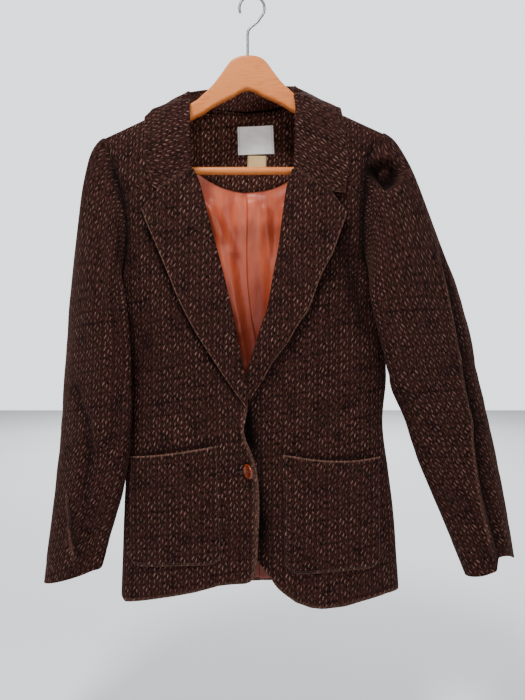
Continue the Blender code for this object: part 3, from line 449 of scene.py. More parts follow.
@dataclass(frozen=True)
class CottonVelour:
    """Cotton velour, woven with a short cut pile and printed: deep matt brown with broken strokes."""

    name: str = "cotton_velour"
    ground_dark: str = "1A0C09"
    ground_light: str = "371C18"
    ground_olive: str = "251A10"
    shadow: str = "070403"
    # Painted shade, where the point attribute is below 0.
    crushed: str = "060404"
    stroke: str = "8F6B60"
    # Lighter where the point attribute is above 0: the pile's wear, with painted highlight on edges and ridges.
    brushed: str = "8A6455"
    sheen: str = "C08A78"
    repeat: tuple[float, float] = (15.0, 16.0)  # across and along
    slope: float = 0.17
    # Each mark of a repeat: middle across and along, tilt in degrees, half width, half length, strength.
    marks: Rows = ((-3.1, 4.2, 30.0, 0.95, 3.2, 1.0), (1.1, 0.4, 14.0, 0.95, 3.1, 0.95),
                   (5.2, -3.9, 22.0, 0.85, 2.6, 0.75), (-3.2, -4.4, 8.0, 0.8, 2.6, 0.7),
                   (5.2, 4.9, -24.0, 0.8, 2.4, 0.6))
    pile_grain: float = 1.6  # drawn coarser than the real 0.3 mm, to show in the render
    pile_lay: tuple[float, float] = (1.3, 4.6)  # width and length of a brushed tuft, drawn as coarse

    def print_marks(self, tree: bpy.types.NodeTree,
                    uv: bpy.types.Node) -> tuple[bpy.types.Node, bpy.types.Node]:
        """The print, in sloping repeats that sway a little with the weave.

        Args:
            tree: The material's tree.
            uv: The place in the cloth.

        Returns:
            How strong a mark is here, and how well this repeat took the dye.
        """
        across, along = self.repeat
        sway = add(tree, "TexNoise", {"Vector": uv, "Scale": 2.4, "Detail": 2.0}).outputs["Color"]
        swayed = add(tree, "VectorMath", {0: sway, 1: (0.05, 0.05, 0.0), 2: uv}, operation="MULTIPLY_ADD")
        spot = add(tree, "SeparateXYZ", {"Vector": swayed}).outputs
        sheared = add(tree, "Math", {0: spot["X"], 1: -self.slope, 2: spot["Y"]}, operation="MULTIPLY_ADD")
        sloped = add(tree, "CombineXYZ", {"X": spot["X"], "Y": sheared})
        cells = add(tree, "VectorMath", {0: sloped, 1: (UV_UNIT / across, UV_UNIT / along, 0.0)},
                    operation="MULTIPLY")
        cell = add(tree, "VectorMath", {0: cells}, operation="FLOOR")
        chance = add(tree, "TexWhiteNoise", {"Vector": cell}, noise_dimensions="2D")
        share = add(tree, "VectorMath", {0: cells}, operation="FRACTION")
        place = add(tree, "VectorMath",
                    {0: share, 1: (across, along, 0.0), 2: (-across / 2, -along / 2, 0.0)},
                    operation="MULTIPLY_ADD")
        marks = 0.0
        for x, y, tilt, half_width, half_length, strength in self.marks:
            moved = add(tree, "VectorMath", {0: place, 1: (x, y, 0.0)}, operation="SUBTRACT")
            turned = add(tree, "VectorRotate", {"Vector": moved, "Angle": radians(tilt)},
                         rotation_type="Z_AXIS")
            sized = add(tree, "VectorMath", {0: turned, 1: (1 / half_width, 1 / half_length, 0.0)},
                        operation="MULTIPLY")
            reach = add(tree, "VectorMath", {0: sized}, operation="LENGTH")
            mask = add(tree, "MapRange",
                       {"Value": reach, "From Min": 1.25, "From Max": 0.45, "To Max": strength},
                       interpolation_type="SMOOTHSTEP")
            marks = add(tree, "Math", {0: marks, 1: mask}, operation="MAXIMUM")
        return marks, add(tree, "MapRange", {"Value": chance, "To Min": 0.45})

    def build(self) -> bpy.types.Material:
        """Makes the material from the cloth's own UV map, so the print follows the panels."""
        material, tree = start_material(self.name)
        uv = add(tree, "UVMap", uv_map="cloth")
        marks, luck = self.print_marks(tree, uv)
        grain = add(tree, "TexNoise", {"Vector": uv, "Scale": UV_UNIT / self.pile_grain, "Detail": 3.0,
                                       "Roughness": 0.7})
        lay = (UV_UNIT / self.pile_lay[0], UV_UNIT / self.pile_lay[1], 1.0)
        tufts = add(tree, "TexNoise", {"Vector": add(tree, "Mapping", {"Vector": uv, "Scale": lay}),
                                       "Scale": 1.0, "Detail": 2.0})
        tips = add(tree, "MapRange", {"Value": tufts, "From Min": 0.34, "From Max": 0.6, "To Min": 0.2})
        roots = add(tree, "MapRange", {"Value": tufts, "From Min": 0.55, "From Max": 0.38})
        wear = add(tree, "TexNoise", {"Vector": uv, "Scale": 1.7, "Detail": 4.0, "Roughness": 0.65})
        kept = add(tree, "MapRange", {"Value": wear, "From Min": 0.35, "From Max": 0.65, "To Min": 0.45})
        shown = marks
        for share in (tips, kept, luck):
            shown = add(tree, "Math", {0: shown, 1: share}, operation="MULTIPLY")
        # The point attribute: above 0 the pile's wear with painted highlight, below 0 painted shade.
        worn = add(tree, "Attribute", attribute_name="worn").outputs["Fac"]
        painted_light_and_wear = add(tree, "Math", {0: worn, 1: tips}, operation="MULTIPLY")
        pressed = add(tree, "Math", {0: worn, 1: -1.0}, operation="MULTIPLY")
        tone = add(tree, "TexNoise", {"Vector": uv, "Scale": 4.5, "Detail": 5.0, "Roughness": 0.6})
        colour = ramp(add(tree, "ValToRGB", {"Fac": tone}),
                      (0.3, self.ground_dark), (0.52, self.ground_light), (0.72, self.ground_olive))
        for share, over in ((roots, self.shadow), (shown, self.stroke), (painted_light_and_wear, self.brushed),
                            (pressed, self.crushed)):
            colour = add(tree, "Mix", {"Factor": share, 6: colour, 7: linear(over)}, data_type="RGBA")
        relief = add(tree, "Math", {0: tufts, 1: 1.2, 2: marks}, operation="MULTIPLY_ADD")
        rough = add(tree, "Math", {0: grain, 1: 0.5, 2: relief}, operation="MULTIPLY_ADD")
        raised = add(tree, "Bump", {"Strength": 0.6, "Distance": 0.0006, "Height": rough})
        return finish_material(material, base_color=colour, normal=raised, roughness=0.95,
                               specular_ior_level=0.08, sheen_weight=0.08, sheen_roughness=0.4,
                               sheen_tint=linear(self.sheen))


@dataclass(frozen=True)
class RustSatin:
    """Acetate lining satin: a smooth warp-faced weave with long highlights, and painted shade where it lies deep."""

    colour: str = "A64028"
    light: str = "DA6A46"
    # Painted shade colour, mixed in where the point attribute is below 0.
    deep: str = "662012"
    warp: tuple[float, float] = (60.0, 3.0)  # drawn coarser than the real 0.1 mm, to show in the render
    pull: tuple[float, float] = (5.0, 1.2)

    def build(self) -> bpy.types.Material:
        """Makes the material, with fine lines along the warp."""
        material, tree = start_material("rust_lining_satin")
        uv = add(tree, "UVMap", uv_map="cloth")
        warp, pull = (add(tree, "Mapping", {"Vector": uv, "Scale": (*scale, 1.0)})
                      for scale in (self.warp, self.pull))
        lines = add(tree, "TexNoise", {"Vector": warp, "Scale": 1.0, "Detail": 4.0})
        soft = add(tree, "TexNoise", {"Vector": pull, "Scale": 1.0, "Detail": 3.0})
        shade = ramp(add(tree, "ValToRGB", {"Fac": soft}), (0.32, self.colour), (0.68, self.light))
        # Painted shade from the point attribute, darker towards the lining's bottom.
        worn = add(tree, "Attribute", attribute_name="worn").outputs["Fac"]
        dull = add(tree, "Math", {0: worn, 1: -1.0}, operation="MULTIPLY")
        toned = add(tree, "Mix", {"Factor": dull, 6: shade, 7: linear(self.deep)}, data_type="RGBA")
        height = add(tree, "Math", {0: soft, 1: 6.0, 2: lines}, operation="MULTIPLY_ADD")
        raised = add(tree, "Bump", {"Strength": 0.5, "Distance": 0.0006, "Height": height})
        return finish_material(material, base_color=toned, normal=raised, roughness=0.42,
                               specular_ior_level=0.38, anisotropic=0.4)


@dataclass(frozen=True)
class WovenTape:
    """Taffeta label tape: a fine plain weave that catches a little light."""

    name: str
    colour: str
    weft: str
    thread: float = 0.9  # drawn coarser than the real 0.2 mm, to show in the render

    def build(self) -> bpy.types.Material:
        """Makes the material, bare but for its weave."""
        material, tree = start_material(self.name)
        uv = add(tree, "UVMap", uv_map="cloth")
        weave = add(tree, "TexWave", {"Vector": uv, "Scale": UV_UNIT / self.thread / 6.28, "Distortion": 0.4,
                                      "Detail": 1.0}, bands_direction="Y").outputs["Fac"]
        mottle = add(tree, "TexNoise", {"Vector": uv, "Scale": 9.0, "Detail": 4.0})
        share = add(tree, "Math", {0: weave, 1: mottle}, operation="MULTIPLY")
        colour = add(tree, "Mix", {"Factor": share, 6: linear(self.colour), 7: linear(self.weft)},
                     data_type="RGBA")
        raised = add(tree, "Bump", {"Strength": 0.4, "Distance": 0.0003, "Height": weave})
        return finish_material(material, base_color=colour, normal=raised, roughness=0.55, sheen_weight=0.1)


@dataclass(frozen=True)
class CastPolyester:
    """Cast polyester, tumbled to a polish: a warm burnt orange with faint cloudy depth."""

    deep: str = "521903"
    bright: str = "843006"

    def build(self) -> bpy.types.Material:
        """Makes the button's material from cloudy noise under a clear skin."""
        material, tree = start_material("cast_polyester_button")
        where = add(tree, "TexCoord").outputs["Object"]
        cloud = add(tree, "TexNoise", {"Vector": where, "Scale": 150.0, "Detail": 3.0, "Distortion": 0.8})
        shade = ramp(add(tree, "ValToRGB", {"Fac": cloud}), (0.35, self.deep), (0.65, self.bright))
        scuff = add(tree, "MapRange", {"Value": cloud, "To Min": 0.22, "To Max": 0.36})
        return finish_material(material, base_color=shade, roughness=scuff, ior=1.52, coat_weight=0.3,
                               coat_roughness=0.12)


@dataclass(frozen=True)
class VarnishedBeech:
    """Beech, shaped, sanded and varnished: pale orange with short flecks along the grain."""

    pale: str = "DB7C34"
    dark: str = "C0662A"
    fleck: str = "D58542"
    grain_step: float = 2.2

    def build(self) -> bpy.types.Material:
        """Makes the wood from noise stretched along x, which the hanger's grain follows."""
        material, tree = start_material("varnished_beech")
        where = add(tree, "TexCoord").outputs["Object"]
        drawn = add(tree, "Mapping", {"Vector": where, "Scale": (0.12, 1.0, 1.0)})
        grain = add(tree, "TexNoise", {"Vector": drawn, "Scale": 1 / (self.grain_step * MM), "Detail": 5.0,
                                       "Roughness": 0.62})
        tint = add(tree, "TexNoise", {"Vector": where, "Scale": 14.0, "Detail": 2.0})
        both = add(tree, "Math", {0: tint, 1: 0.35, 2: grain}, operation="MULTIPLY_ADD")
        shade = ramp(add(tree, "ValToRGB", {"Fac": both}), (0.45, self.dark), (0.68, self.pale),
        (0.95, self.fleck))
        raised = add(tree, "Bump", {"Strength": 0.2, "Distance": 0.0003, "Height": grain})
        return finish_material(material, base_color=shade, normal=raised, roughness=0.5,
                               specular_ior_level=0.3, coat_weight=0.15, coat_roughness=0.2)


@dataclass(frozen=True)
class PlatedWire:
    """Drawn steel wire with a zinc plating: mid grey, brighter and dulled in patches by handling."""

    colour: str = "A6A7A8"
    dull: str = "6E6F70"

    def build(self) -> bpy.types.Material:
        """Makes the metal, its roughness broken by handling."""
        material, tree = start_material("zinc_plated_steel_wire")
        where = add(tree, "TexCoord").outputs["Object"]
        rub = add(tree, "TexNoise", {"Vector": where, "Scale": 260.0, "Detail": 4.0})
        rough = add(tree, "MapRange", {"Value": rub, "To Min": 0.24, "To Max": 0.5})
        shade = ramp(add(tree, "ValToRGB", {"Fac": rub}), (0.3, self.dull), (0.6, self.colour))
        return finish_material(material, base_color=shade, roughness=rough, metallic=1.0)


@dataclass(frozen=True)
class SewingThread:
    """Spun polyester thread: matt, twisted and a little lighter than the pile round it."""

    colour: str = "3A241B"
    dark: str = "20130E"

    def build(self) -> bpy.types.Material:
        """Makes the thread, darker in its twist."""
        material, tree = start_material("spun_polyester_thread")
        where = add(tree, "TexCoord").outputs["Object"]
        twist = add(tree, "TexNoise", {"Vector": where, "Scale": 1500.0, "Detail": 2.0})
        shade = ramp(add(tree, "ValToRGB", {"Fac": twist}), (0.35, self.dark), (0.6, self.colour))
        return finish_material(material, base_color=shade, roughness=0.7, sheen_weight=0.1)


@dataclass(frozen=True)
class StudioPaper:
    """Matt background paper, pale and even, with the faintest mottle."""

    colour: str = "F1F3F5"
    mottle: str = "EAEDF0"

    def build(self) -> bpy.types.Material:
        """Makes the floor's material."""
        material, tree = start_material("matt_background_paper")
        where = add(tree, "TexCoord").outputs["Object"]
        mottle = add(tree, "TexNoise", {"Vector": where, "Scale": 1.2, "Detail": 3.0})
        shade = ramp(add(tree, "ValToRGB", {"Fac": mottle}), (0.2, self.mottle), (0.8, self.colour))
        return finish_material(material, base_color=shade, roughness=0.95)


@dataclass
class Finishes:
    """The finished materials, by what they are."""

    velour: bpy.types.Material = field(default_factory=CottonVelour().build)
    # A lighter copy of the velour for the facing, painted light in the shade inside the neck: its marks pale and
    # clear.
    fresh_velour: bpy.types.Material = field(default_factory=CottonVelour(
        "cotton_velour_unworn", ground_dark="2A1510", ground_light="4C2A22", stroke="C49A8A").build)
    satin: bpy.types.Material = field(default_factory=RustSatin().build)
    label: bpy.types.Material = field(
        default_factory=WovenTape("white_label_taffeta", "F3F2EE", "BDBAB0").build)
    size_label: bpy.types.Material = field(
        default_factory=WovenTape("cream_label_taffeta", "E0B87E", "C29A62").build)
    button: bpy.types.Material = field(default_factory=CastPolyester().build)
    wood: bpy.types.Material = field(default_factory=VarnishedBeech().build)
    wire: bpy.types.Material = field(default_factory=PlatedWire().build)
    thread: bpy.types.Material = field(default_factory=SewingThread().build)
    paper: bpy.types.Material = field(default_factory=StudioPaper().build)


# ------------------------------------------------------------------ meshes


@dataclass
class Cloth:
    """A piece of cloth: a grid of points in the middle of its wall, and its place in the cloth.

    The UV map has one column more than a closed grid, so the print meets at the seam. `lined` says
    which inner faces are lining. The point attribute runs from -1, painted shade, to 1, the pile's wear with painted
    highlight.
    """

    name: str
    grid: Array
    uv: Array
    thickness: float
    closed: bool = False
    toward: Array | None = None
    lined: Array | None = None
    worn: Array | None = None
    rim_bulge: float = 0.8

    def area(self) -> float:
        """The flat area of the middle of the wall, in square metres."""
        grid = np.concatenate([self.grid, self.grid[:, :1]], axis=1) if self.closed else self.grid
        a, b, c, d = grid[:-1, :-1], grid[:-1, 1:], grid[1:, 1:], grid[1:, :-1]
        return float(np.linalg.norm(np.cross(c - a, d - b), axis=-1).sum() / 2) * MM * MM

    def cut_size(self) -> tuple[float, float]:
        """Width and length of the cloth that the piece is cut from, in metres."""
        low, high = self.uv.reshape(-1, 2).min(axis=0), self.uv.reshape(-1, 2).max(axis=0)
        return tuple(float(v) * MM for v in high - low)

    def build(self, finishes: Sequence[bpy.types.Material]) -> bpy.types.Object:
        """Makes the wall: two skins and a rounded edge.

        Args:
            finishes: The outer material, and the inner one where the piece is lined.

        Returns:
            The piece's object.
        """
        rows, columns = self.grid.shape[:2]
        normals = outward(self.grid, self.toward, self.closed)
        half = self.thickness / 2
        count = rows * columns
        ids = np.arange(count).reshape(rows, columns)
        uv_ids = np.arange(self.uv.shape[0] * self.uv.shape[1]).reshape(self.uv.shape[:2])
        if self.closed:
            ids = np.concatenate([ids, ids[:, :1]], axis=1)
        quads = np.stack([ids[:-1, :-1], ids[:-1, 1:], ids[1:, 1:], ids[1:, :-1]], axis=-1).reshape(-1, 4)
        corners = np.stack([uv_ids[:-1, :-1], uv_ids[:-1, 1:], uv_ids[1:, 1:], uv_ids[1:, :-1]],
                           axis=-1).reshape(-1, 4)
        flat = self.grid.reshape(-1, 3)
        face_normals = np.cross(flat[quads[:, 2]] - flat[quads[:, 0]], flat[quads[:, 3]] - flat[quads[:, 1]])
        if np.sum(face_normals * normals.reshape(-1, 3)[quads[:, 0]]) < 0:
            quads, corners = quads[:, ::-1], corners[:, ::-1]
        rim, points_out = self.rim(quads, corners, flat)
        loop = np.unique(rim[:, :2])
        place = np.full(count, -1)
        place[loop] = np.arange(len(loop)) + 2 * count
        outer = flat + normals.reshape(-1, 3) * half
        inner = flat - normals.reshape(-1, 3) * half
        edge = flat[loop] + points_out[loop] * half * self.rim_bulge
        p, q, uv_p, uv_q = rim[:, 0], rim[:, 1], rim[:, 2], rim[:, 3]
        faces = np.concatenate([
            quads, count + quads[:, ::-1],
            np.stack([q, p, place[p], place[q]], axis=-1),
            np.stack([place[q], place[p], count + p, count + q], axis=-1)])
        loops = np.concatenate([corners, corners[:, ::-1], np.stack([uv_q, uv_p, uv_p, uv_q], axis=-1),
                                np.stack([uv_q, uv_p, uv_p, uv_q], axis=-1)])
        piece = mesh_object(self.name, np.concatenate([outer, inner, edge]), faces.tolist(), finishes)
        layer = piece.data.uv_layers.new(name="cloth")
        layer.data.foreach_set("uv", (self.uv.reshape(-1, 2)[loops.ravel()] / UV_UNIT).ravel())
        # The point attribute of the pile's wear, painted highlight and painted shade.
        if self.worn is not None:
            painted_light_and_wear = piece.data.attributes.new("worn", "FLOAT", "POINT")
            flat_wear_and_painted_light = self.worn.reshape(-1)
            painted_light_and_wear.data.foreach_set("value", np.concatenate([flat_wear_and_painted_light, flat_wear_and_painted_light, flat_wear_and_painted_light[loop]]))
        if self.lined is not None:
            index = np.zeros(len(faces), np.int32)
            index[len(quads):2 * len(quads)] = self.lined.reshape(-1).astype(np.int32)
            piece.data.polygons.foreach_set("material_index", index)
        piece.data.update()
        return piece

    def rim(self, quads: Array, corners: Array, flat: Array) -> tuple[Array, Array]:
        """Finds the wall's free edges.

        Args:
            quads: The outer skin's faces.
            corners: Their places in the UV map.
            flat: The grid's points.

        Returns:
            Rows of both ends and both UV places of each free edge, and the way out at each point.
        """
        starts, ends = quads.ravel(), np.roll(quads, -1, axis=1).ravel()
        uv_starts, uv_ends = corners.ravel(), np.roll(corners, -1, axis=1).ravel()
        key = np.minimum(starts, ends) * len(flat) + np.maximum(starts, ends)
        _, first, times = np.unique(key, return_index=True, return_counts=True)
        free = first[times == 1]
        out = np.zeros_like(flat)
        across = flat[quads].mean(axis=1)[free // 4]
        middle = (flat[starts[free]] + flat[ends[free]]) / 2
        along = unit(flat[ends[free]] - flat[starts[free]])
        away = middle - across
        away -= along * np.sum(away * along, axis=1, keepdims=True)
        np.add.at(out, starts[free], unit(away))
        np.add.at(out, ends[free], unit(away))
        return np.stack([starts[free], ends[free], uv_starts[free], uv_ends[free]], axis=-1), unit(out)


def worn_edges(shape: tuple[int, ...], **edges: float) -> Array:
    """How much wear and painted highlight lie along the edges of a grid.

    Args:
        shape: The grid's shape.
        edges: How much wear and painted highlight the first and last rows have, and the start and end, which are
            columns.

    Returns:
        The wear and painted highlight at each point, 1 where it is full.
    """
    worn = np.zeros(shape[:2])
    for label, strength in edges.items():
        lines = worn if label in ("first", "last") else worn.T
        if label in ("last", "end"):
            lines = lines[::-1]
        lines[0] = np.maximum(lines[0], strength)
    return worn


def mesh_object(name: str, points: Array, faces: list,
                finishes: Sequence[bpy.types.Material]) -> bpy.types.Object:
    """A smooth mesh object at the origin.

    Args:
        name: The piece's name.
        points: Its points, in millimetres.
        faces: Its faces, outwards.
        finishes: Its materials.

    Returns:
        The object.
    """
    mesh = bpy.data.meshes.new(name)
    mesh.from_pydata((np.asarray(points) * MM).tolist(), [], faces)
    for finish in finishes:
        mesh.materials.append(finish)
    mesh.shade_smooth()
    mesh.update()
    piece = bpy.data.objects.new(name, mesh)
    bpy.context.scene.collection.objects.link(piece)
    return piece


def loft_object(name: str, rings: Array, finish: bpy.types.Material) -> bpy.types.Object:
    """A closed solid through rings of points, from one end to the other."""
    count, sides = rings.shape[:2]
    ids = np.arange(count * sides).reshape(count, sides)
    ids = np.concatenate([ids, ids[:, :1]], axis=1)
    quads = np.stack([ids[:-1, :-1], ids[1:, :-1], ids[1:, 1:], ids[:-1, 1:]], axis=-1)
    quads = quads.reshape(-1, 4).tolist()
    flat = rings.reshape(-1, 3)
    ends = [list(range(sides)), list(range((count - 1) * sides, count * sides))[::-1]]
    middle = rings.mean(axis=1)
    first = np.array(quads[len(quads) // 2])
    normal = np.cross(flat[first[2]] - flat[first[0]], flat[first[3]] - flat[first[1]])
    if np.dot(normal, flat[first].mean(axis=0) - middle[first[0] // sides]) < 0:
        quads = [quad[::-1] for quad in quads]
        ends = [end[::-1] for end in ends]
    piece = mesh_object(name, flat, quads + ends, [finish])
    piece.data.set_sharp_from_angle(angle=radians(50))
    return piece


def dress(piece: bpy.types.Object, slot: str, *nodes: str) -> bpy.types.Object:
    """Rides a piece on the body, names its material slot and hides the solids it stands for."""
    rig.ride(piece, BODY)
    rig.slot(piece, slot)
    if nodes:
        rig.replaces(piece, *nodes)
    LOG.info("%s: %d faces", piece.name, len(piece.data.polygons))
    return piece


def declare_sheet(cloth: Cloth, piece: bpy.types.Object, rests_on: Sequence[str],
                  with_pieces: Sequence[bpy.types.Object] = ()) -> None:
    """Declares a piece of cloth with the size it was cut to."""
    width, length = cloth.cut_size()
    area = min(max(cloth.area(), LEAST_AREA_SHARE * width * length), width * length)
    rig.sheet(piece, flat=(width, length), held="hung", rests_on=list(rests_on), area=area,
             with_pieces=list(with_pieces))
    LOG.info("%s: cut from %.3f x %.3f m, area %.4f m2", piece.name, width, length, area)


def hang(cloth: Cloth, finishes: Sequence[bpy.types.Material], slot: str, nodes: Sequence[str],
         rests_on: Sequence[str]) -> None:
    """Makes a piece of cloth, dresses it and declares its sheet."""
    piece = dress(cloth.build(finishes), slot, *nodes)
    declare_sheet(cloth, piece, rests_on)


# ------------------------------------------------------------------ repeats along a path


class PathTree:
    """Geometry Nodes that work along a path, with named inputs, ending in plain mesh."""

    def __init__(self, name: str, **inputs: float) -> None:
        """Starts a tree.

        Args:
            name: The tree's name.
            inputs: Each named size, whole where its input counts in whole numbers.
        """
        self.tree = bpy.data.node_groups.new(name, "GeometryNodeTree")
        face = self.tree.interface
        face.new_socket("Geometry", in_out="INPUT", socket_type="NodeSocketGeometry")
        self.sockets = {}
        for label, value in inputs.items():
            kind = "NodeSocketInt" if isinstance(value, int) else "NodeSocketFloat"
            socket = face.new_socket(label, in_out="INPUT", socket_type=kind)
            socket.default_value = value
            self.sockets[label] = socket.identifier
        face.new_socket("Geometry", in_out="OUTPUT", socket_type="NodeSocketGeometry")
        self.start = self.tree.nodes.new("NodeGroupInput").outputs
        self.end = self.tree.nodes.new("NodeGroupOutput")

    def close(self, geometry: bpy.types.Node, finish: bpy.types.Material) -> None:
        """Ends the tree in realised, smooth faces of one material."""
        real = add(self.tree, "GeometryNodeRealizeInstances", {"Geometry": geometry})
        soft = add(self.tree, "GeometryNodeSetShadeSmooth", {"Geometry": real})
        dyed = add(self.tree, "GeometryNodeSetMaterial", {"Geometry": soft, "Material": finish})
        feed(self.tree, self.end.inputs[0], dyed)

    def run(self, name: str, paths: Sequence[Array], **sizes: float) -> bpy.types.Object:
        """Runs the tree on paths and keeps the result as a plain mesh.

        Args:
            name: The piece's name.
            paths: Points of each path, in millimetres.
            sizes: Values of the named inputs.

        Returns:
            The piece's object.
        """
        points = np.concatenate(paths) * MM
        edges, at = [], 0
        for path in paths:
            edges += [(at + k, at + k + 1) for k in range(len(path) - 1)]
            at += len(path)
        mesh = bpy.data.meshes.new(f"{name}_path")
        mesh.from_pydata(points.tolist(), edges, [])
        source = bpy.data.objects.new(f"{name}_path", mesh)
        bpy.context.scene.collection.objects.link(source)
        nodes = source.modifiers.new("along", "NODES")
        nodes.node_group = self.tree
        for label, value in sizes.items():
            nodes[self.sockets[label]] = value
        bpy.context.view_layer.update()
        evaluated = source.evaluated_get(bpy.context.evaluated_depsgraph_get())
        result = bpy.data.meshes.new_from_object(evaluated)
        result.name = name
        source.modifiers.clear()
        bpy.data.objects.remove(source)
        piece = bpy.data.objects.new(name, result)
        bpy.context.scene.collection.objects.link(piece)
        return piece


class StitchTree(PathTree):
    """A row of stitches, each a short plump length of thread lying along the path."""

    def __init__(self, finish: bpy.types.Material) -> None:
        """Builds the tree for one thread."""
        super().__init__("stitches", Pitch=3.2 * MM, Length=2.3 * MM, Radius=0.35 * MM, Seed=7)
        tree, start = self.tree, self.start
        line = add(tree, "GeometryNodeMeshToCurve", {"Mesh": start["Geometry"]})
        places = add(tree, "GeometryNodeCurveToPoints", {"Curve": line, "Length": start["Pitch"]},
                     mode="LENGTH")
        thread = add(tree, "GeometryNodeMeshUVSphere", {"Segments": 6, "Rings": 5, "Radius": 1.0})
        chance = add(tree, "FunctionNodeRandomValue", {2: 0.9, 3: 1.1, "Seed": start["Seed"]},
                     data_type="FLOAT")
        half = add(tree, "Math", {0: start["Length"], 1: 0.5}, operation="MULTIPLY")
        reach = add(tree, "Math", {0: half, 1: chance}, operation="MULTIPLY")
        size = add(tree, "CombineXYZ", {"X": start["Radius"], "Y": start["Radius"], "Z": reach})
        turned = add(tree, "FunctionNodeAlignRotationToVector", {"Vector": places.outputs["Tangent"]},
                     axis="Z")
        placed = add(tree, "GeometryNodeInstanceOnPoints",
                     {"Points": places, "Instance": thread, "Rotation": turned, "Scale": size})
        self.close(placed, finish)


class WireTree(PathTree):
    """A round wire along the path, closed at both ends."""

    def __init__(self, finish: bpy.types.Material) -> None:
        """Builds the tree for one metal or thread."""
        super().__init__("wire", Radius=1.9 * MM, Step=1.2 * MM)
        tree, start = self.tree, self.start
        line = add(tree, "GeometryNodeMeshToCurve", {"Mesh": start["Geometry"]})
        even = add(tree, "GeometryNodeResampleCurve", {"Curve": line, "Length": start["Step"]}, mode="LENGTH")
        ring = add(tree, "GeometryNodeCurvePrimitiveCircle", {"Resolution": 20, "Radius": start["Radius"]})
        tube = add(tree, "GeometryNodeCurveToMesh", {"Curve": even, "Profile Curve": ring, "Fill Caps": True})
        self.close(tube, finish)


# ------------------------------------------------------------------ the body's surface


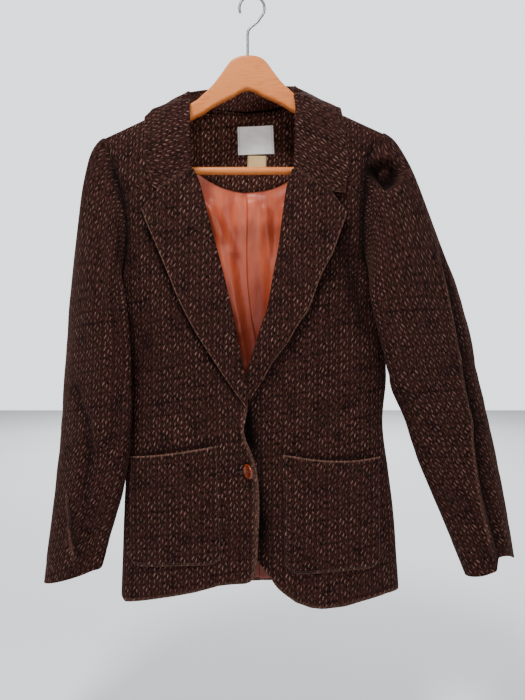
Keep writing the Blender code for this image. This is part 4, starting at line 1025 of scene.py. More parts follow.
@dataclass
class BodyForm:
    """The surface that the fronts and backs follow, and that what is sewn on them is made from."""

    sections: Rows = (
        # z, right_x, left_x, front, back
        (-100, -226, 206, 44, 52), (-203, -222, 204, 46, 54), (-300, -205, 190, 54, 55),
        (-360, -192, 176, 58, 54), (-405, -183, 171, 59, 51), (-445, -177, 174, 58, 47),
        (-487, -172, 184, 56, 43), (-530, -169.5, 186, 53, 39), (-592, -170, 181, 51, 39),
        (-662, -174.5, 189, 52, 43), (-718, -177, 196, 52, 47), (-774, -179, 200, 50, 50),
        (-845, -181, 204, 48, 51),
    )
    power: float = 2.5
    shoulder_drop: float = 88.0
    shoulder_forward: float = 12.0
    chest_centre: float = -8.0
    seam_gap: float = 0.35
    break_z: float = -568.0
    over_lift: float = 4.0
    under_depth: float = 7.0
    armhole_sink: float = 6.0
    back_neck_z: float = -149.0
    shoulder: dict = field(default_factory=lambda: {
        Side.RIGHT: ((-94.0, -148.5), (-204.0, -203.0)), Side.LEFT: ((68.0, -141.0), (182.0, -196.0))})
    underarm_z: dict = field(default_factory=lambda: {Side.RIGHT: -402.0, Side.LEFT: -400.0})
    armhole: dict = field(default_factory=lambda: {
        # z, front_x, back_x
        Side.RIGHT: ((-203, -204, -204), (-222, -198, -199), (-251, -190, -193), (-276, -180, -187),
                     (-331, -173, -181), (-372, -176, -180), (-395, -181, -182), (-402, -183.2, -183.2)),
        Side.LEFT: ((-196, 182, 182), (-214, 172, 177), (-237, 160, 170), (-262, 157, 165),
                    (-320, 154.6, 162), (-365, 156, 164), (-390, 163, 168), (-400, 171.1, 171.1))})
    front_edge: dict = field(default_factory=lambda: {
        # z, x
        Side.RIGHT: ((-140, -99), (-200, -99), (-244, -97), (-251, -83), (-272, -73), (-314, -62),
                     (-355, -51), (-402, -38.8), (-448, -28), (-494, -19), (-540, -11), (-568, -5.8),
                     (-582, -7.5), (-599, -10.5), (-612, -8), (-625, -2.5), (-645, 4.7), (-671, 8.6),
                     (-694, 10), (-722, 9.3), (-754, 8.1), (-779, 6.6), (-797, 4)),
        Side.LEFT: ((-135, 73), (-200, 74), (-244, 74), (-251, 60), (-274, 51.5), (-302, 47), (-356, 40),
                    (-402, 31.7), (-441, 24.5), (-462, 17), (-498, 6), (-530, -4.4), (-553, -8),
                    (-575, -15), (-700, -16), (-745, -9), (-768, 2), (-781, 10.7), (-791, 19), (-801, 26))})
    hem: dict = field(default_factory=lambda: {
        # x, z
        Side.RIGHT: ((-182, -832), (-174, -839), (-124, -828), (-76, -818), (-45, -808.5), (-23, -806),
                     (-6, -804), (1, -800), (4.5, -795), (7, -788)),
        Side.LEFT: ((10, -779), (20, -791), (26, -801), (34, -813), (46, -823), (60, -833), (79, -838.7),
                    (97, -840), (125, -838), (150, -832), (184, -825), (204, -824))})
    back_hem: dict = field(default_factory=lambda: {
        Side.RIGHT: ((-182, -832), (-90, -835), (11, -831.5)), Side.LEFT: ((11, -831.5), (110, -830),
                     (204, -824))})
    folds: dict = field(default_factory=lambda: {
        # x0, z0, x1, z1, height, half_width
        (Face.FRONT, Side.RIGHT): (
            (-20, -575, -120, -430, 3.0, 20), (-30, -600, -165, -560, -3.0, 16),
            (-60, -800, -75, -640, 3.0, 22), (-140, -320, -110, -520, 3.0, 22)),
        (Face.FRONT, Side.LEFT): (
            (100, -360, 78, -590, 3.5, 13), (125, -380, 110, -560, -3.0, 16),
            (60, -620, 150, -560, -3.0, 14), (140, -640, 165, -800, 3.5, 18), (40, -640, 60, -810, 3.0, 20)),
        (Face.BACK, Side.RIGHT): (
            (-60, -300, -90, -520, 3.0, 24), (-40, -560, -130, -590, -2.5, 16),
            (-110, -640, -120, -820, 3.5, 26)),
        (Face.BACK, Side.LEFT): (
            (70, -300, 95, -520, 3.0, 24), (50, -575, 140, -560, -2.5, 16), (125, -640, 140, -820, 3.5, 26))})

    def __post_init__(self) -> None:
        """Turns the tables into curves."""
        self.right_x, self.left_x, self.front, self.back = (Curve.of(self.sections, k) for k in (1, 2, 3, 4))
        self.edges = {side: Curve.of(rows) for side, rows in self.front_edge.items()}
        self.holes = {(face, side): Curve.of(rows, 1 if face is Face.FRONT else 2)
                      for side, rows in self.armhole.items() for face in Face}

    def middle(self, z: Array) -> tuple[Array, Array]:
        """Centre and half width of the body at a height."""
        return (self.right_x(z) + self.left_x(z)) / 2, (self.left_x(z) - self.right_x(z)) / 2

    def shoulder_z(self, x: Array) -> Array:
        """The shoulder seam's height at x, carried on straight over the neck."""
        lines = []
        for side in (Side.RIGHT, Side.LEFT):
            (neck_x, neck_z), (tip_x, tip_z) = self.shoulder[side]
            lines.append(neck_z + (tip_z - neck_z) * (x - neck_x) / (tip_x - neck_x))
        return np.where(np.asarray(x) < self.chest_centre, lines[0], lines[1])

    def shoulder_y(self, x: Array, z: Array) -> Array:
        """How far forward the shoulder seam lies, fading out down the body."""
        fade = 1 - smooth(0, 150, self.shoulder_z(x) - z)
        return -self.shoulder_forward * np.minimum(np.abs(x - self.chest_centre) / 205, 1.1) ** 2 * fade

    def rounding(self, x: Array, z: Array) -> Array:
        """0 on the shoulder seam, 1 below the shoulder."""
        drop = np.clip((self.shoulder_z(x) - z) / self.shoulder_drop, 0.0, 1.0)
        return np.sqrt(1 - (1 - drop) ** 2)

    def turn_of(self, x: Array, z: Array) -> Array:
        """The angle round the body of a point x, 0 at its middle and a right angle at its side."""
        middle, half = self.middle(z)
        share = np.minimum(np.abs(x - middle) / half, 1.0)
        return np.arcsin(share ** (self.power / 2)) * np.where(x >= middle, 1, -1)

    def x_of(self, turn: Array, z: Array) -> Array:
        """The x of an angle round the body."""
        middle, half = self.middle(z)
        return middle + half * np.where(turn >= 0, 1, -1) * np.abs(np.sin(turn)) ** (2 / self.power)

    def overlap(self, side: Side, x: Array, z: Array) -> Array:
        """The right front's edge lifts over the left one, and waves between the fastenings."""
        edge = self.edges[side](z)
        inward = (edge - x) if side is Side.RIGHT else (x - edge)
        below = smooth(self.break_z + 95, self.break_z + 20, z)
        if side is Side.LEFT:
            hollow = 8.0 * bump(z + 608, 48) + 6.0 * bump(z + 738, 62)
            return -(self.under_depth * below + hollow) * (1 - smooth(20, 70, inward))
        wave = 9.0 * bump(z + 612, 26) + 8.0 * bump(z + 725, 42) - 1.0 * bump(z + 655, 16)
        return (self.over_lift + np.maximum(wave, -0.8)) * below * (1 - smooth(0, 38, inward))

    def hem_z(self, face: Face, side: Side, x: Array) -> Array:
        """The hem's height at x."""
        rows = self.hem[side] if face is Face.FRONT else self.back_hem[side]
        return np.interp(x, *zip(*sorted(rows)))

    def sink(self, face: Face, side: Side, x: Array, z: Array) -> Array:
        """How far the cloth sinks towards an armhole's seam, where the sleeve's weight pulls it in."""
        near = bump((self.holes[face, side](z) - x) * side.value, 10)
        low = smooth(self.underarm_z[side] - 4, self.underarm_z[side] + 34, z)
        return self.armhole_sink * near * low * smooth(6, 44, self.shoulder_z(x) - z)

    def point(self, face: Face, side: Side, turn: Array, z: Array) -> Array:
        """Points in the middle of the cloth at turns and heights."""
        x = self.x_of(turn, z)
        across = np.abs(np.cos(turn)) ** (2 / self.power)
        depth = (self.front(z) if face is Face.FRONT else self.back(z)) * across * self.rounding(x, z)
        rise = fold_height(self.folds[face, side], x, z) * across
        if face is Face.FRONT:
            rise = rise + self.overlap(side, x, z)
        out = self.seam_gap + depth + rise * np.minimum(depth / 12, 1)
        return np.stack([x, self.shoulder_y(x, z) + face.value * out, z + 0 * x], axis=-1)

    def normal(self, face: Face, side: Side, turn: Array, z: Array) -> Array:
        """Outward normals at turns and heights."""
        small_turn, small_z = 0.004, 0.4
        inner = np.where(turn > 0, turn - small_turn, turn + small_turn)
        near_top = z > self.shoulder_z(self.x_of(turn, z)) - small_z
        low = np.where(near_top, z - small_z, z - small_z / 2)
        high = np.where(near_top, z, z + small_z / 2)
        here = self.point(face, side, turn, z)
        across = (here - self.point(face, side, inner, z)) * np.where(turn > 0, 1, -1)[..., None]
        up = self.point(face, side, turn, high) - self.point(face, side, turn, low)
        return unit(np.cross(across, up)) * -face.value

    def out(self, face: Face, side: Side, x: Array, z: Array, distance: Array | float) -> Array:
        """Points out from a panel's middle along its normals."""
        x, z = np.broadcast_arrays(np.asarray(x, float), np.asarray(z, float))
        turn = self.turn_of(x, z)
        distance = np.asarray(distance, float)[..., None]
        return self.point(face, side, turn, z) + self.normal(face, side, turn, z) * distance

    def panel_top(self, face: Face, side: Side, x: Array) -> Array:
        """The top of a panel: the shoulder seam, or the back neck seam."""
        neck_x, neck_z = self.shoulder[side][0]
        seam = self.shoulder_z(x)
        if face is Face.FRONT:
            return seam
        over_neck = (x - neck_x) * side.value < 0
        curve = self.back_neck_z + (neck_z - self.back_neck_z) * smooth(40, 80, np.abs(x - self.chest_centre))
        return np.where(over_neck, np.minimum(curve, seam), seam)

    def place(self, face: Face, side: Side, up: Array, across: Array) -> tuple[Array, Array]:
        """Turn and height of a panel's points.

        Args:
            face: Front or back.
            side: The wearer's side.
            up: 0 at the hem to 1 at the top.
            across: 0 at the middle or front edge to 1 at the side.

        Returns:
            The turns and the heights.
        """
        z = -830 + 650 * up + 0 * across
        turn = z
        for _ in range(14):
            if face is Face.FRONT:
                inner = self.turn_of(self.edges[side](z), z)
            else:
                inner = self.turn_of(self.middle(z)[0] + side.value * self.seam_gap, z)
            hole = np.minimum(np.abs(self.turn_of(self.holes[face, side](z), z)), SIDE_TURN)
            outer = side.value * np.where(z <= self.underarm_z[side], SIDE_TURN, hole)
            turn = inner + (outer - inner) * across
            x = self.x_of(turn, z)
            bottom = self.hem_z(face, side, x)
            z = bottom + (self.panel_top(face, side, x) - bottom) * up
        return turn, z


# ------------------------------------------------------------------ fronts, backs, lining


@dataclass
class Panels:
    """The two fronts and two backs: velour, lined inside, creased and seamed as they hang."""

    form: BodyForm
    finishes: Finishes
    thickness: float = 2.0
    rows: int = 170
    columns: dict = field(default_factory=lambda: {Face.FRONT: 78, Face.BACK: 62})
    hem_turning: float = 34.0
    front_facing: float = 78.0
    neck_lining_z: float = -275.0
    creases: dict = field(default_factory=lambda: {
        # x0, z0, x1, z1, height, half_width
        (Face.FRONT, Side.RIGHT): (
            (-138, -320, -118, -430, -4.0, 9), (-12, -640, -95, -560, 1.5, 7),
            (-20, -655, -120, -625, -1.2, 7), (-30, -590, -110, -500, -1.5, 9),
            (-165, -545, -90, -560, -1.6, 6), (-168, -575, -100, -583, 1.3, 7),
            (-164, -470, -120, -520, -1.4, 9),
            (-172, -380, -150, -470, 1.6, 10), (-150, -340, -120, -420, -1.3, 10),
            (-20, -690, -30, -790, -1.2, 9),
            (-100, -800, -110, -830, 1.2, 12), (-120, -230, -165, -300, -1.5, 11),
            (-180, -255, -150, -310, 1.2, 8)),
        (Face.FRONT, Side.LEFT): (
            (121, -322, 158, -470, -6.5, 13), (98, -380, 106, -540, 2.0, 9), (20, -600, 120, -545, 1.5, 8),
            (15, -640, 90, -612, -1.3, 8), (175, -555, 110, -575, -1.7, 7),
            (178, -530, 120, -535, 1.3, 7), (150, -420, 120, -500, 1.4, 10), (160, -375, 135, -440, -1.5, 9),
            (110, -230, 140, -300, -1.4, 11), (150, -250, 130, -330, 1.2, 9), (60, -700, 70, -815, -1.4, 10),
            (150, -640, 178, -740, -1.4, 10), (95, -800, 92, -835, 1.2, 14)),
        (Face.BACK, Side.RIGHT): (
            (-165, -420, -110, -470, -1.6, 8), (-160, -540, -80, -560, 1.5, 8),
            (-30, -580, -110, -540, -1.5, 8),
            (-170, -300, -130, -370, 1.6, 10), (-40, -250, -60, -420, -1.2, 12),
            (-60, -700, -70, -820, -1.5, 12),
            (-150, -620, -150, -760, 1.4, 12)),
        (Face.BACK, Side.LEFT): (
            (158, -420, 110, -480, -1.6, 8), (160, -540, 90, -555, 1.5, 8), (40, -590, 120, -560, -1.4, 8),
            (155, -300, 120, -370, 1.5, 10), (45, -260, 60, -420, -1.2, 12), (70, -690, 80, -815, -1.5, 12),
            (165, -620, 170, -760, 1.4, 12))})
    # The long shaping seam of each panel: z, x. It starts at the lapel's or the armhole's edge.
    seams: dict = field(default_factory=lambda: {
        (Face.FRONT, Side.RIGHT): ((-340, -128), (-420, -106), (-500, -96), (-580, -92), (-625, -92)),
        (Face.FRONT, Side.LEFT): ((-340, 112), (-400, 106), (-480, 96), (-560, 90), (-632, 90)),
        (Face.BACK, Side.RIGHT): ((-280, -185), (-340, -140), (-420, -112), (-540, -98), (-700, -104),
        (-840, -110)),
        (Face.BACK, Side.LEFT): ((-280, 165), (-340, 128), (-420, 106), (-540, 98), (-700, 112),
        (-840, 122))})
    # Painted shade: beside the lapels and pockets, in the notches, beside the front's edge.
    pressed: dict = field(default_factory=lambda: {
        # x0, z0, x1, z1, shade, half_width
        (Face.FRONT, Side.RIGHT): (
            (-146, -306, -125, -362, 0.75, 6), (-125, -362, -97, -430, 0.7, 6),
            (-97, -430, -57, -502, 0.6, 5),
            (-57, -502, -18, -558, 0.6, 5), (-122, -283, -144, -301, 0.85, 6),
            (-164, -636.5, -104, -627, 0.65, 4),
            (-104, -627, -44.6, -618, 0.65, 4)),
        (Face.FRONT, Side.LEFT): (
            (127, -314, 105, -372, 0.75, 7), (105, -372, 79, -438, 0.7, 6), (79, -438, 32, -508, 0.6, 6),
            (32, -508, 0, -560, 0.6, 5), (105, -285, 126, -303, 0.8, 6), (122, -330, 154, -474, 0.5, 12),
            (-4, -570, -6, -600, 1.1, 9), (-6, -598, 6, -636, 1.1, 9), (5, -630, 12, -668, 0.7, 5),
            (12, -665, 14, -700, 0.7, 5), (14, -694, 12, -790, 1.1, 9), (43, -630.5, 108, -639.5, 0.65, 4),
            (108, -639.5, 173, -636, 0.65, 4))})
    seam_depth: float = 1.1
    seam_half_width: float = 2.6
    seam_ridge: float = 0.6
    # The wearer's left front hangs on its seam, so the cloth draws in along it.
    seam_pull: dict = field(default_factory=lambda: {(Face.FRONT, Side.LEFT): 2.0})
    hem_mark: float = 0.35
    unevenness: float = 0.55
    # The darkest painted shade.
    most_pressed: float = 0.95

    def cloth(self, face: Face, side: Side) -> Cloth:
        """The finished surface of one panel."""
        up = 1 - (1 - np.linspace(0, 1, self.rows)[:, None]) ** 1.35
        across = np.linspace(0, 1, self.columns[face])[None, :]
        turn, z = self.form.place(face, side, up, across)
        grid = self.form.point(face, side, turn, z)
        toward = self.form.normal(face, side, turn, z)
        x = grid[..., 0]
        over = travelled(grid, 1, (0, 1)) * side.value
        uv = np.stack([x[:, :1] + over, z[:1] + travelled(grid, 0, (1, 2))], axis=-1)
        height = fold_height(self.creases[face, side], x, z)
        height += self.unevenness * ripple(uv[..., 0], uv[..., 1], 11 + 3 * side.value + 7 * face.value)
        height += self.seam(face, side, x, z)
        sink = self.form.sink(face, side, x, z)
        grid = grid + toward * (height * self.calm(face, side, x, z) - sink)[..., None]
        # Wear and painted highlight along the hem and the front's edge.
        worn = worn_edges(grid.shape, first=0.3, start=0.35 if face is Face.FRONT else 0.0)
        # Painted shade beside the lapels and pockets, in the notches and beside the front's edge.
        worn -= np.clip(fold_height(self.pressed.get((face, side), ()), x, z), 0, self.most_pressed)
        # Painted shade where the cloth sinks towards the armhole seam.
        worn -= 0.9 * (sink / self.form.armhole_sink) ** 1.5
        return Cloth(f"{face.name.lower()}_{side.word}_cloth", grid, uv, self.thickness, toward=toward,
                     lined=self.lined(face, side, grid), worn=np.clip(worn, -self.most_pressed, 1))

    def calm(self, face: Face, side: Side, x: Array, z: Array) -> Array:
        """0 on the shoulder seam, where creases end, and low at the side seam."""
        top = smooth(2, 40, self.form.panel_top(face, side, x) - z)
        middle, half = self.form.middle(z)
        return top * (1 - 0.85 * smooth(0.9, 1.0, np.abs(x - middle) / half))

    def seam(self, face: Face, side: Side, x: Array, z: Array) -> Array:
        """The groove of the shaping seam, its ridge beside it, and the hem's faint edge."""
        line = Curve.of(self.seams[face, side])
        off = x - line(z)
        low, high = line.keys[0], line.keys[-1]
        there = smooth(low - 10, low + 20, z) * (1 - smooth(high - 4, high + 2, z))
        form = (self.seam_ridge * bump(off + 3.0, 3.2)
                - self.seam_depth * bump(off - 1.0, self.seam_half_width))
        above = z - self.form.hem_z(face, side, x)
        form = form * there * self.seam_pull.get((face, side), 1.0)
        return form - self.hem_mark * bump(above - self.hem_turning, 3.5)

    def lined(self, face: Face, side: Side, grid: Array) -> Array:
        """Which inner faces are satin lining instead of velour turned in at the hem and front."""
        middle = (grid[:-1, :-1] + grid[1:, 1:]) / 2
        x, z = middle[..., 0], middle[..., 2]
        satin = z - self.form.hem_z(face, side, x) > self.hem_turning
        if face is Face.FRONT:
            return satin & ((x - self.form.edges[side](z)) * side.value > self.front_facing)
        return satin & (z < self.neck_lining_z)

    def build(self) -> None:
        """Makes the four panels."""
        for face in Face:
            for side in Side:
                hang(self.cloth(face, side), (self.finishes.velour, self.finishes.satin), "velour",
                     [f"{face.name.lower()}_{side.word}"], ["hanger_wood"])


@dataclass
class Inside:
    """What shows inside the back: the velour neck facing, the satin lining with its pleat, two labels."""

    form: BodyForm
    finishes: Finishes
    facing_edge: Rows = ((-150, -178), (-120, -200), (-95, -222), (-66, -244), (-38, -257), (-11, -262),
                         (22, -258), (54.7, -244), (85, -220), (110, -196), (135, -176))
    facing_inset: float = 2.9
    facing_cloth: float = 1.6
    lining_right: Rows = ((-200, -168), (-330, -165), (-400, -160), (-560, -152), (-700, -160), (-820, -164))
    lining_left: Rows = ((-200, 148), (-330, 150), (-400, 153), (-560, 163), (-700, 172), (-820, 186))
    lining_hem_z: float = -826.0
    lining_inset: float = 4.2
    lining_cloth: float = 0.9
    lining_tuck: float = 6.0
    pleat_depth: float = 5.0
    pleat_width: float = 22.0
    lining_folds: Rows = (
        # x0, z0, x1, z1, height, half_width
        (-82, -262, -28, -350, 9.0, 8), (-58, -285, -24, -470, 11.0, 9), (-72, -330, -34, -440, 7.0, 7),
        (-34, -350, -10, -520, 9.0, 7), (20, -290, 30, -430, 8.0, 8), (48, -290, 16, -500, 9.0, 8),
        (-70, -520, -20, -700, 3.0, 18), (60, -560, 40, -760, 3.0, 18), (100, -320, 80, -560, 2.5, 18),
        (-120, -340, -100, -560, 2.5, 18))
    label_cloth: float = 0.8
    label_puff: float = 0.5
    # The deepest painted shade on the lining, at its bottom.
    deepest_lay: float = 0.9
    # name, node, slot, width and height, middle x and z, tilt in degrees, inset
    labels: tuple = (
        ("main_label_cloth", "label_main", "woven_label", (53.0, 41.0), (5.0, -187.0), 2.0, 5.6),
        ("size_label_cloth", "label_size", "size_label", (27.0, 26.0), (6.5, -222.6), -1.0, 4.75))

    def inset(self, x: Array, z: Array, distance: Array | float) -> Array:
        """Points inside the back, set in from the middle of its cloth."""
        right, left = (self.form.out(Face.BACK, side, x, z, -np.asarray(distance)) for side in Side)
        return np.where((x < self.form.middle(z)[0])[..., None], right, left)

    def facing(self) -> Cloth:
        """The neck facing, from its curved lower edge up to the neck and shoulder seams."""
        x = np.linspace(self.facing_edge[0][0], self.facing_edge[-1][0], 90)[:, None]
        up = 1 - (1 - np.linspace(0, 1, 34)[None, :]) ** 1.4
        low = Curve.of(self.facing_edge)(x)
        right_top, left_top = (self.form.panel_top(Face.BACK, side, x) for side in Side)
        top = np.where(x < self.form.chest_centre, right_top, left_top)
        high = top - np.where(np.abs(x - self.form.chest_centre) < 70, 4.5, 9.0)
        z = low + (high - low) * up
        x = x + 0 * z
        grid = self.inset(x, z, self.facing_inset)
        return Cloth("back_neck_facing_cloth", grid, np.stack([x, z], axis=-1), self.facing_cloth,
                     toward=toward_front(grid))

    def lining(self) -> Cloth:
        """The lining, pleated down its middle and softly creased as satin is."""
        spread = np.linspace(-1, 1, 190)[:, None]
        share = 0.5 + 0.5 * np.sign(spread) * (0.35 * np.abs(spread) + 0.65 * np.abs(spread) ** 2)
        up = np.linspace(0, 1, 150)[None, :]
        z = self.lining_hem_z + (-250 - self.lining_hem_z) * up
        right, left = Curve.of(self.lining_right)(z), Curve.of(self.lining_left)(z)
        x = right + (left - right) * share
        edge = np.minimum(Curve.of(self.facing_edge)(np.clip(x, -150, 135)), -190)
        z = self.lining_hem_z + (edge + self.lining_tuck - self.lining_hem_z) * up
        below_edge = edge - z
        off = x - self.form.middle(z)[0]
        pleat = (self.pleat_depth * bump(off, self.pleat_width) * smooth(-1, 1, off)
                 * smooth(3, 16, below_edge))
        soft = 0.8 * ripple(x * 1.6, z * 0.35, 31, 60, 20) + 0.35 * ripple(x, z, 37, 40, 12)
        soft += fold_height(self.lining_folds, x, z)
        calm = smooth(0, 14, z - self.lining_hem_z) * smooth(3, 22, below_edge)
        flush = (self.lining_inset - 1.55) * smooth(22, 3, below_edge)
        grid = self.inset(x, z, self.lining_inset - flush + pleat + np.clip(soft * calm, -1.4, 13.0))
        # Painted shade: the lining is darker towards the bottom of the opening.
        lay = -self.deepest_lay * smooth(-310, -500, z) + 0 * x
        return Cloth("lining_back_cloth", grid, np.stack([x, z], axis=-1), self.lining_cloth,
                     toward=toward_front(grid), worn=lay)

    def label(self, name: str, size: tuple[float, float], centre: tuple[float, float], tilt: float,
              inset: float) -> Cloth:
        """A label, a little proud between its sewn ends.

        Args:
            name: The piece's name.
            size: Width and height.
            centre: Its middle, x and z.
            tilt: Its turn in degrees.
            inset: How far in from the back's cloth it lies.

        Returns:
            The label's cloth.
        """
        across = np.linspace(-0.5, 0.5, 44)[:, None] * size[0]
        up = np.linspace(-0.5, 0.5, 34)[None, :] * size[1]
        across, up = np.broadcast_arrays(across, up)
        turn = radians(tilt)
        x = centre[0] + across * cos(turn) - up * sin(turn)
        z = centre[1] + across * sin(turn) + up * cos(turn)
        puff = (self.label_puff * np.cos(pi * across / size[0]) ** 0.5
                * (1 + 0.5 * ripple(across, up, 5, 30, 12)))
        grid = self.inset(x, z, inset + puff)
        return Cloth(name, grid, np.stack([across, up], axis=-1), self.label_cloth, toward=toward_front(grid))

    def build(self) -> None:
        """Makes the facing, the lining and the labels with their stitches."""
        backs = ["back_left", "back_right"]
        # The facing takes the lighter copy of the velour, with painted light.
        hang(self.facing(), (self.finishes.fresh_velour,), "velour", ["back_neck_facing"], backs)
        hang(self.lining(), (self.finishes.satin,), "satin", ["lining_back"], backs)
        stitches = StitchTree(self.finishes.thread)
        tapes = (self.finishes.label, self.finishes.size_label)
        for (name, node, slot, *places), finish in zip(self.labels, tapes):
            label = self.label(name, *places)
            piece = dress(label.build((finish,)), slot, node)
            ends = [label.grid[row, 1:-1] - (0, 0.55, 0) for row in (2, -3)]
            row = stitches.run(f"{node}_stitches", ends, Pitch=2.6 * MM, Length=1.9 * MM, Radius=0.28 * MM)
            declare_sheet(label, piece, ["back_neck_facing"], [dress(row, slot)])


# ------------------------------------------------------------------ sleeves


@dataclass
class Sleeves:
    """Two-piece sleeves, from the gathered cap to the open cuff, slack and creased as they hang."""

    form: BodyForm
    finishes: Finishes
    thickness: float = 2.0
    sides: int = 40
    cap_rows: int = 12
    arm_rows: int = 30
    fine_sides: int = 132
    fine_rows: int = 190
    underarm_drop: float = 30.0
    cuff_turning: float = 0.93
    table: dict = field(default_factory=lambda: {
        # outer_x, outer_z, inner_x, inner_z, front, back, lean
        Side.RIGHT: ((-261, -430, -170, -440, -62, 44, 1.0), (-264.5, -505, -164.5, -507, -60, 40, 0.9),
                     (-270, -590, -165, -589, -55, 40, 0.8), (-273.5, -640, -166.5, -630, -50, 38, 0.7),
                     (-280, -705, -177.5, -690, -45, 36, 0.6), (-287, -768, -194, -745, -42, 34, 0.5),
                     (-292.6, -820, -206, -789, -38, 32, 0.45)),
        Side.LEFT: ((288, -405, 160, -437, -78, 28, 1.1), (305, -468, 176, -498, -74, 27, 1.05),
                    (315, -517, 187, -545, -68, 28, 0.95), (325, -560, 205, -583, -62, 29, 0.85),
                    (339, -622, 225, -641, -55, 30, 0.75), (353, -690, 252, -703, -48, 31, 0.65),
                    (368, -784, 294, -802, -40, 31, 0.5))})
    cap_reach: dict = field(default_factory=lambda: {Side.RIGHT: 124.0, Side.LEFT: 156.0})
    folds: dict = field(default_factory=lambda: {
        # from_down, to_down, from_round, to_round, height, half_width
        Side.RIGHT: ((0.18, 0.58, 118, 128, 5, 13), (0.24, 0.66, 95, 104, -7, 12),
                     (0.62, 0.97, 66, 104, -6, 12), (0.66, 1.0, 112, 134, 5, 12),
                     (0.10, 0.36, 60, 72, -4, 12), (0.12, 0.30, 92, 84, 4, 10),
                     (0.35, 0.75, 235, 250, -6, 16), (0.55, 0.95, 290, 270, 5, 16)),
        Side.LEFT: ((0.25, 0.49, 6, 19, 5, 8), (0.47, 0.71, 17, 33, 6, 8), (0.69, 0.97, 31, 66, 6, 8),
                    (0.25, 0.49, -9, 4, -6, 9), (0.47, 0.71, 2, 18, -7, 9), (0.69, 1.0, 16, 50, -9, 10),
                    (0.30, 0.62, 112, 100, 4, 14), (0.55, 0.60, 60, 100, -2, 9),
                    (0.12, 0.36, 88, 80, -4, 12), (0.66, 0.98, 92, 74, -4, 12),
                    (0.35, 0.75, 235, 250, -6, 16), (0.55, 0.95, 300, 280, 5, 16))})
    creases: dict = field(default_factory=lambda: {
        Side.RIGHT: ((0.46, 0.54, 22, 50, -4.5, 8), (0.53, 0.80, 50, 66, -4.5, 8),
                     (0.53, 0.78, 62, 78, 2.5, 8),
                     (0.75, 0.88, 38, 79, 4.0, 7), (0.75, 0.88, 52, 92, -3.0, 8),
                     (0.05, 0.22, 20, 34, -1.6, 6), (0.05, 0.24, 48, 56, 1.4, 5),
                     (0.05, 0.26, 74, 80, -1.8, 6),
                     (0.05, 0.20, 112, 104, -1.5, 6), (0.22, 0.44, 62, 82, -2.2, 6),
                     (0.40, 0.62, 100, 74, 1.8, 6),
                     (0.55, 0.70, 52, 86, -2.2, 7), (0.72, 0.90, 84, 112, -1.6, 6),
                     (0.80, 0.98, 50, 58, 1.5, 8),
                     (0.46, 0.52, 130, 175, -2.0, 9), (0.3, 0.36, 190, 230, -2.0, 9),
                     (0.2, 0.5, 300, 322, 1.8, 8),
                     (0.55, 0.66, 215, 260, 2.0, 8)),
        Side.LEFT: ((0.05, 0.2, 18, 26, -1.5, 6), (0.05, 0.22, 60, 58, -1.6, 6), (0.05, 0.24, 98, 92, 1.6, 6),
                    (0.2, 0.42, 84, 70, -2.0, 6), (0.42, 0.56, 90, 62, 1.8, 6),
                    (0.60, 0.66, 66, 108, -1.2, 7),
                    (0.7, 0.92, 66, 54, -1.6, 6), (0.78, 0.98, 104, 92, 1.6, 7),
                    (0.46, 0.54, 130, 172, -2.0, 9),
                    (0.3, 0.37, 188, 232, -2.0, 9), (0.2, 0.5, 310, 326, 1.8, 8),
                    (0.55, 0.68, 210, 256, 2.0, 8))})
    # Painted light on the folds: below 0 painted shade in a trough, above 0 painted highlight on a ridge.
    lays: dict = field(default_factory=lambda: {
        # from_down, to_down, from_round, to_round, painted light, half_width
        Side.RIGHT: ((0.46, 0.54, 20, 49, -0.5, 6), (0.53, 0.80, 49, 65, -0.5, 7),
                     (0.75, 0.92, 30, 70, 0.5, 3),
                     (0.76, 0.92, 38, 79, -0.6, 7), (0.03, 0.30, 150, 165, -0.5, 9),
                     (0.30, 0.75, 172, 160, -0.5, 12)),
        Side.LEFT: ((0.27, 0.49, 6, 18, 0.5, 3), (0.47, 0.71, 17, 32, 0.5, 3), (0.69, 0.96, 31, 64, 0.5, 3),
                    (0.26, 0.49, -9, 7, -0.85, 12), (0.47, 0.71, 5, 20, -0.85, 12),
                    (0.69, 0.99, 18, 54, -0.85, 12),
                    (0.30, 0.60, 150, 160, -0.4, 12))})
    cap_share: float = 7 / 24  # how far down the sleeve its cap reaches
    cap_stand: float = 0.9
    underarm_stand: float = 3.6
    # Limits of the painted highlight and the painted shade of the folds.
    most_worn: float = 0.3
    most_pressed: float = 0.8
    gather_height: float = 0.9
    unevenness: float = 0.5
    # The pucker sunk in the left cap: x and z, half width and half height, depth, and its small flap.
    dimple_centre: tuple[float, float] = (181.0, -257.0)
    dimple_radius: tuple[float, float] = (27.0, 23.0)
    dimple_depth: float = 20.0
    flap_place: tuple[float, float] = (1.0, 9.0)
    flap_size: float = 8.0
    flap_height: float = 9.0
    brow_height: float = 3.5
    cuff_step: float = 15.0

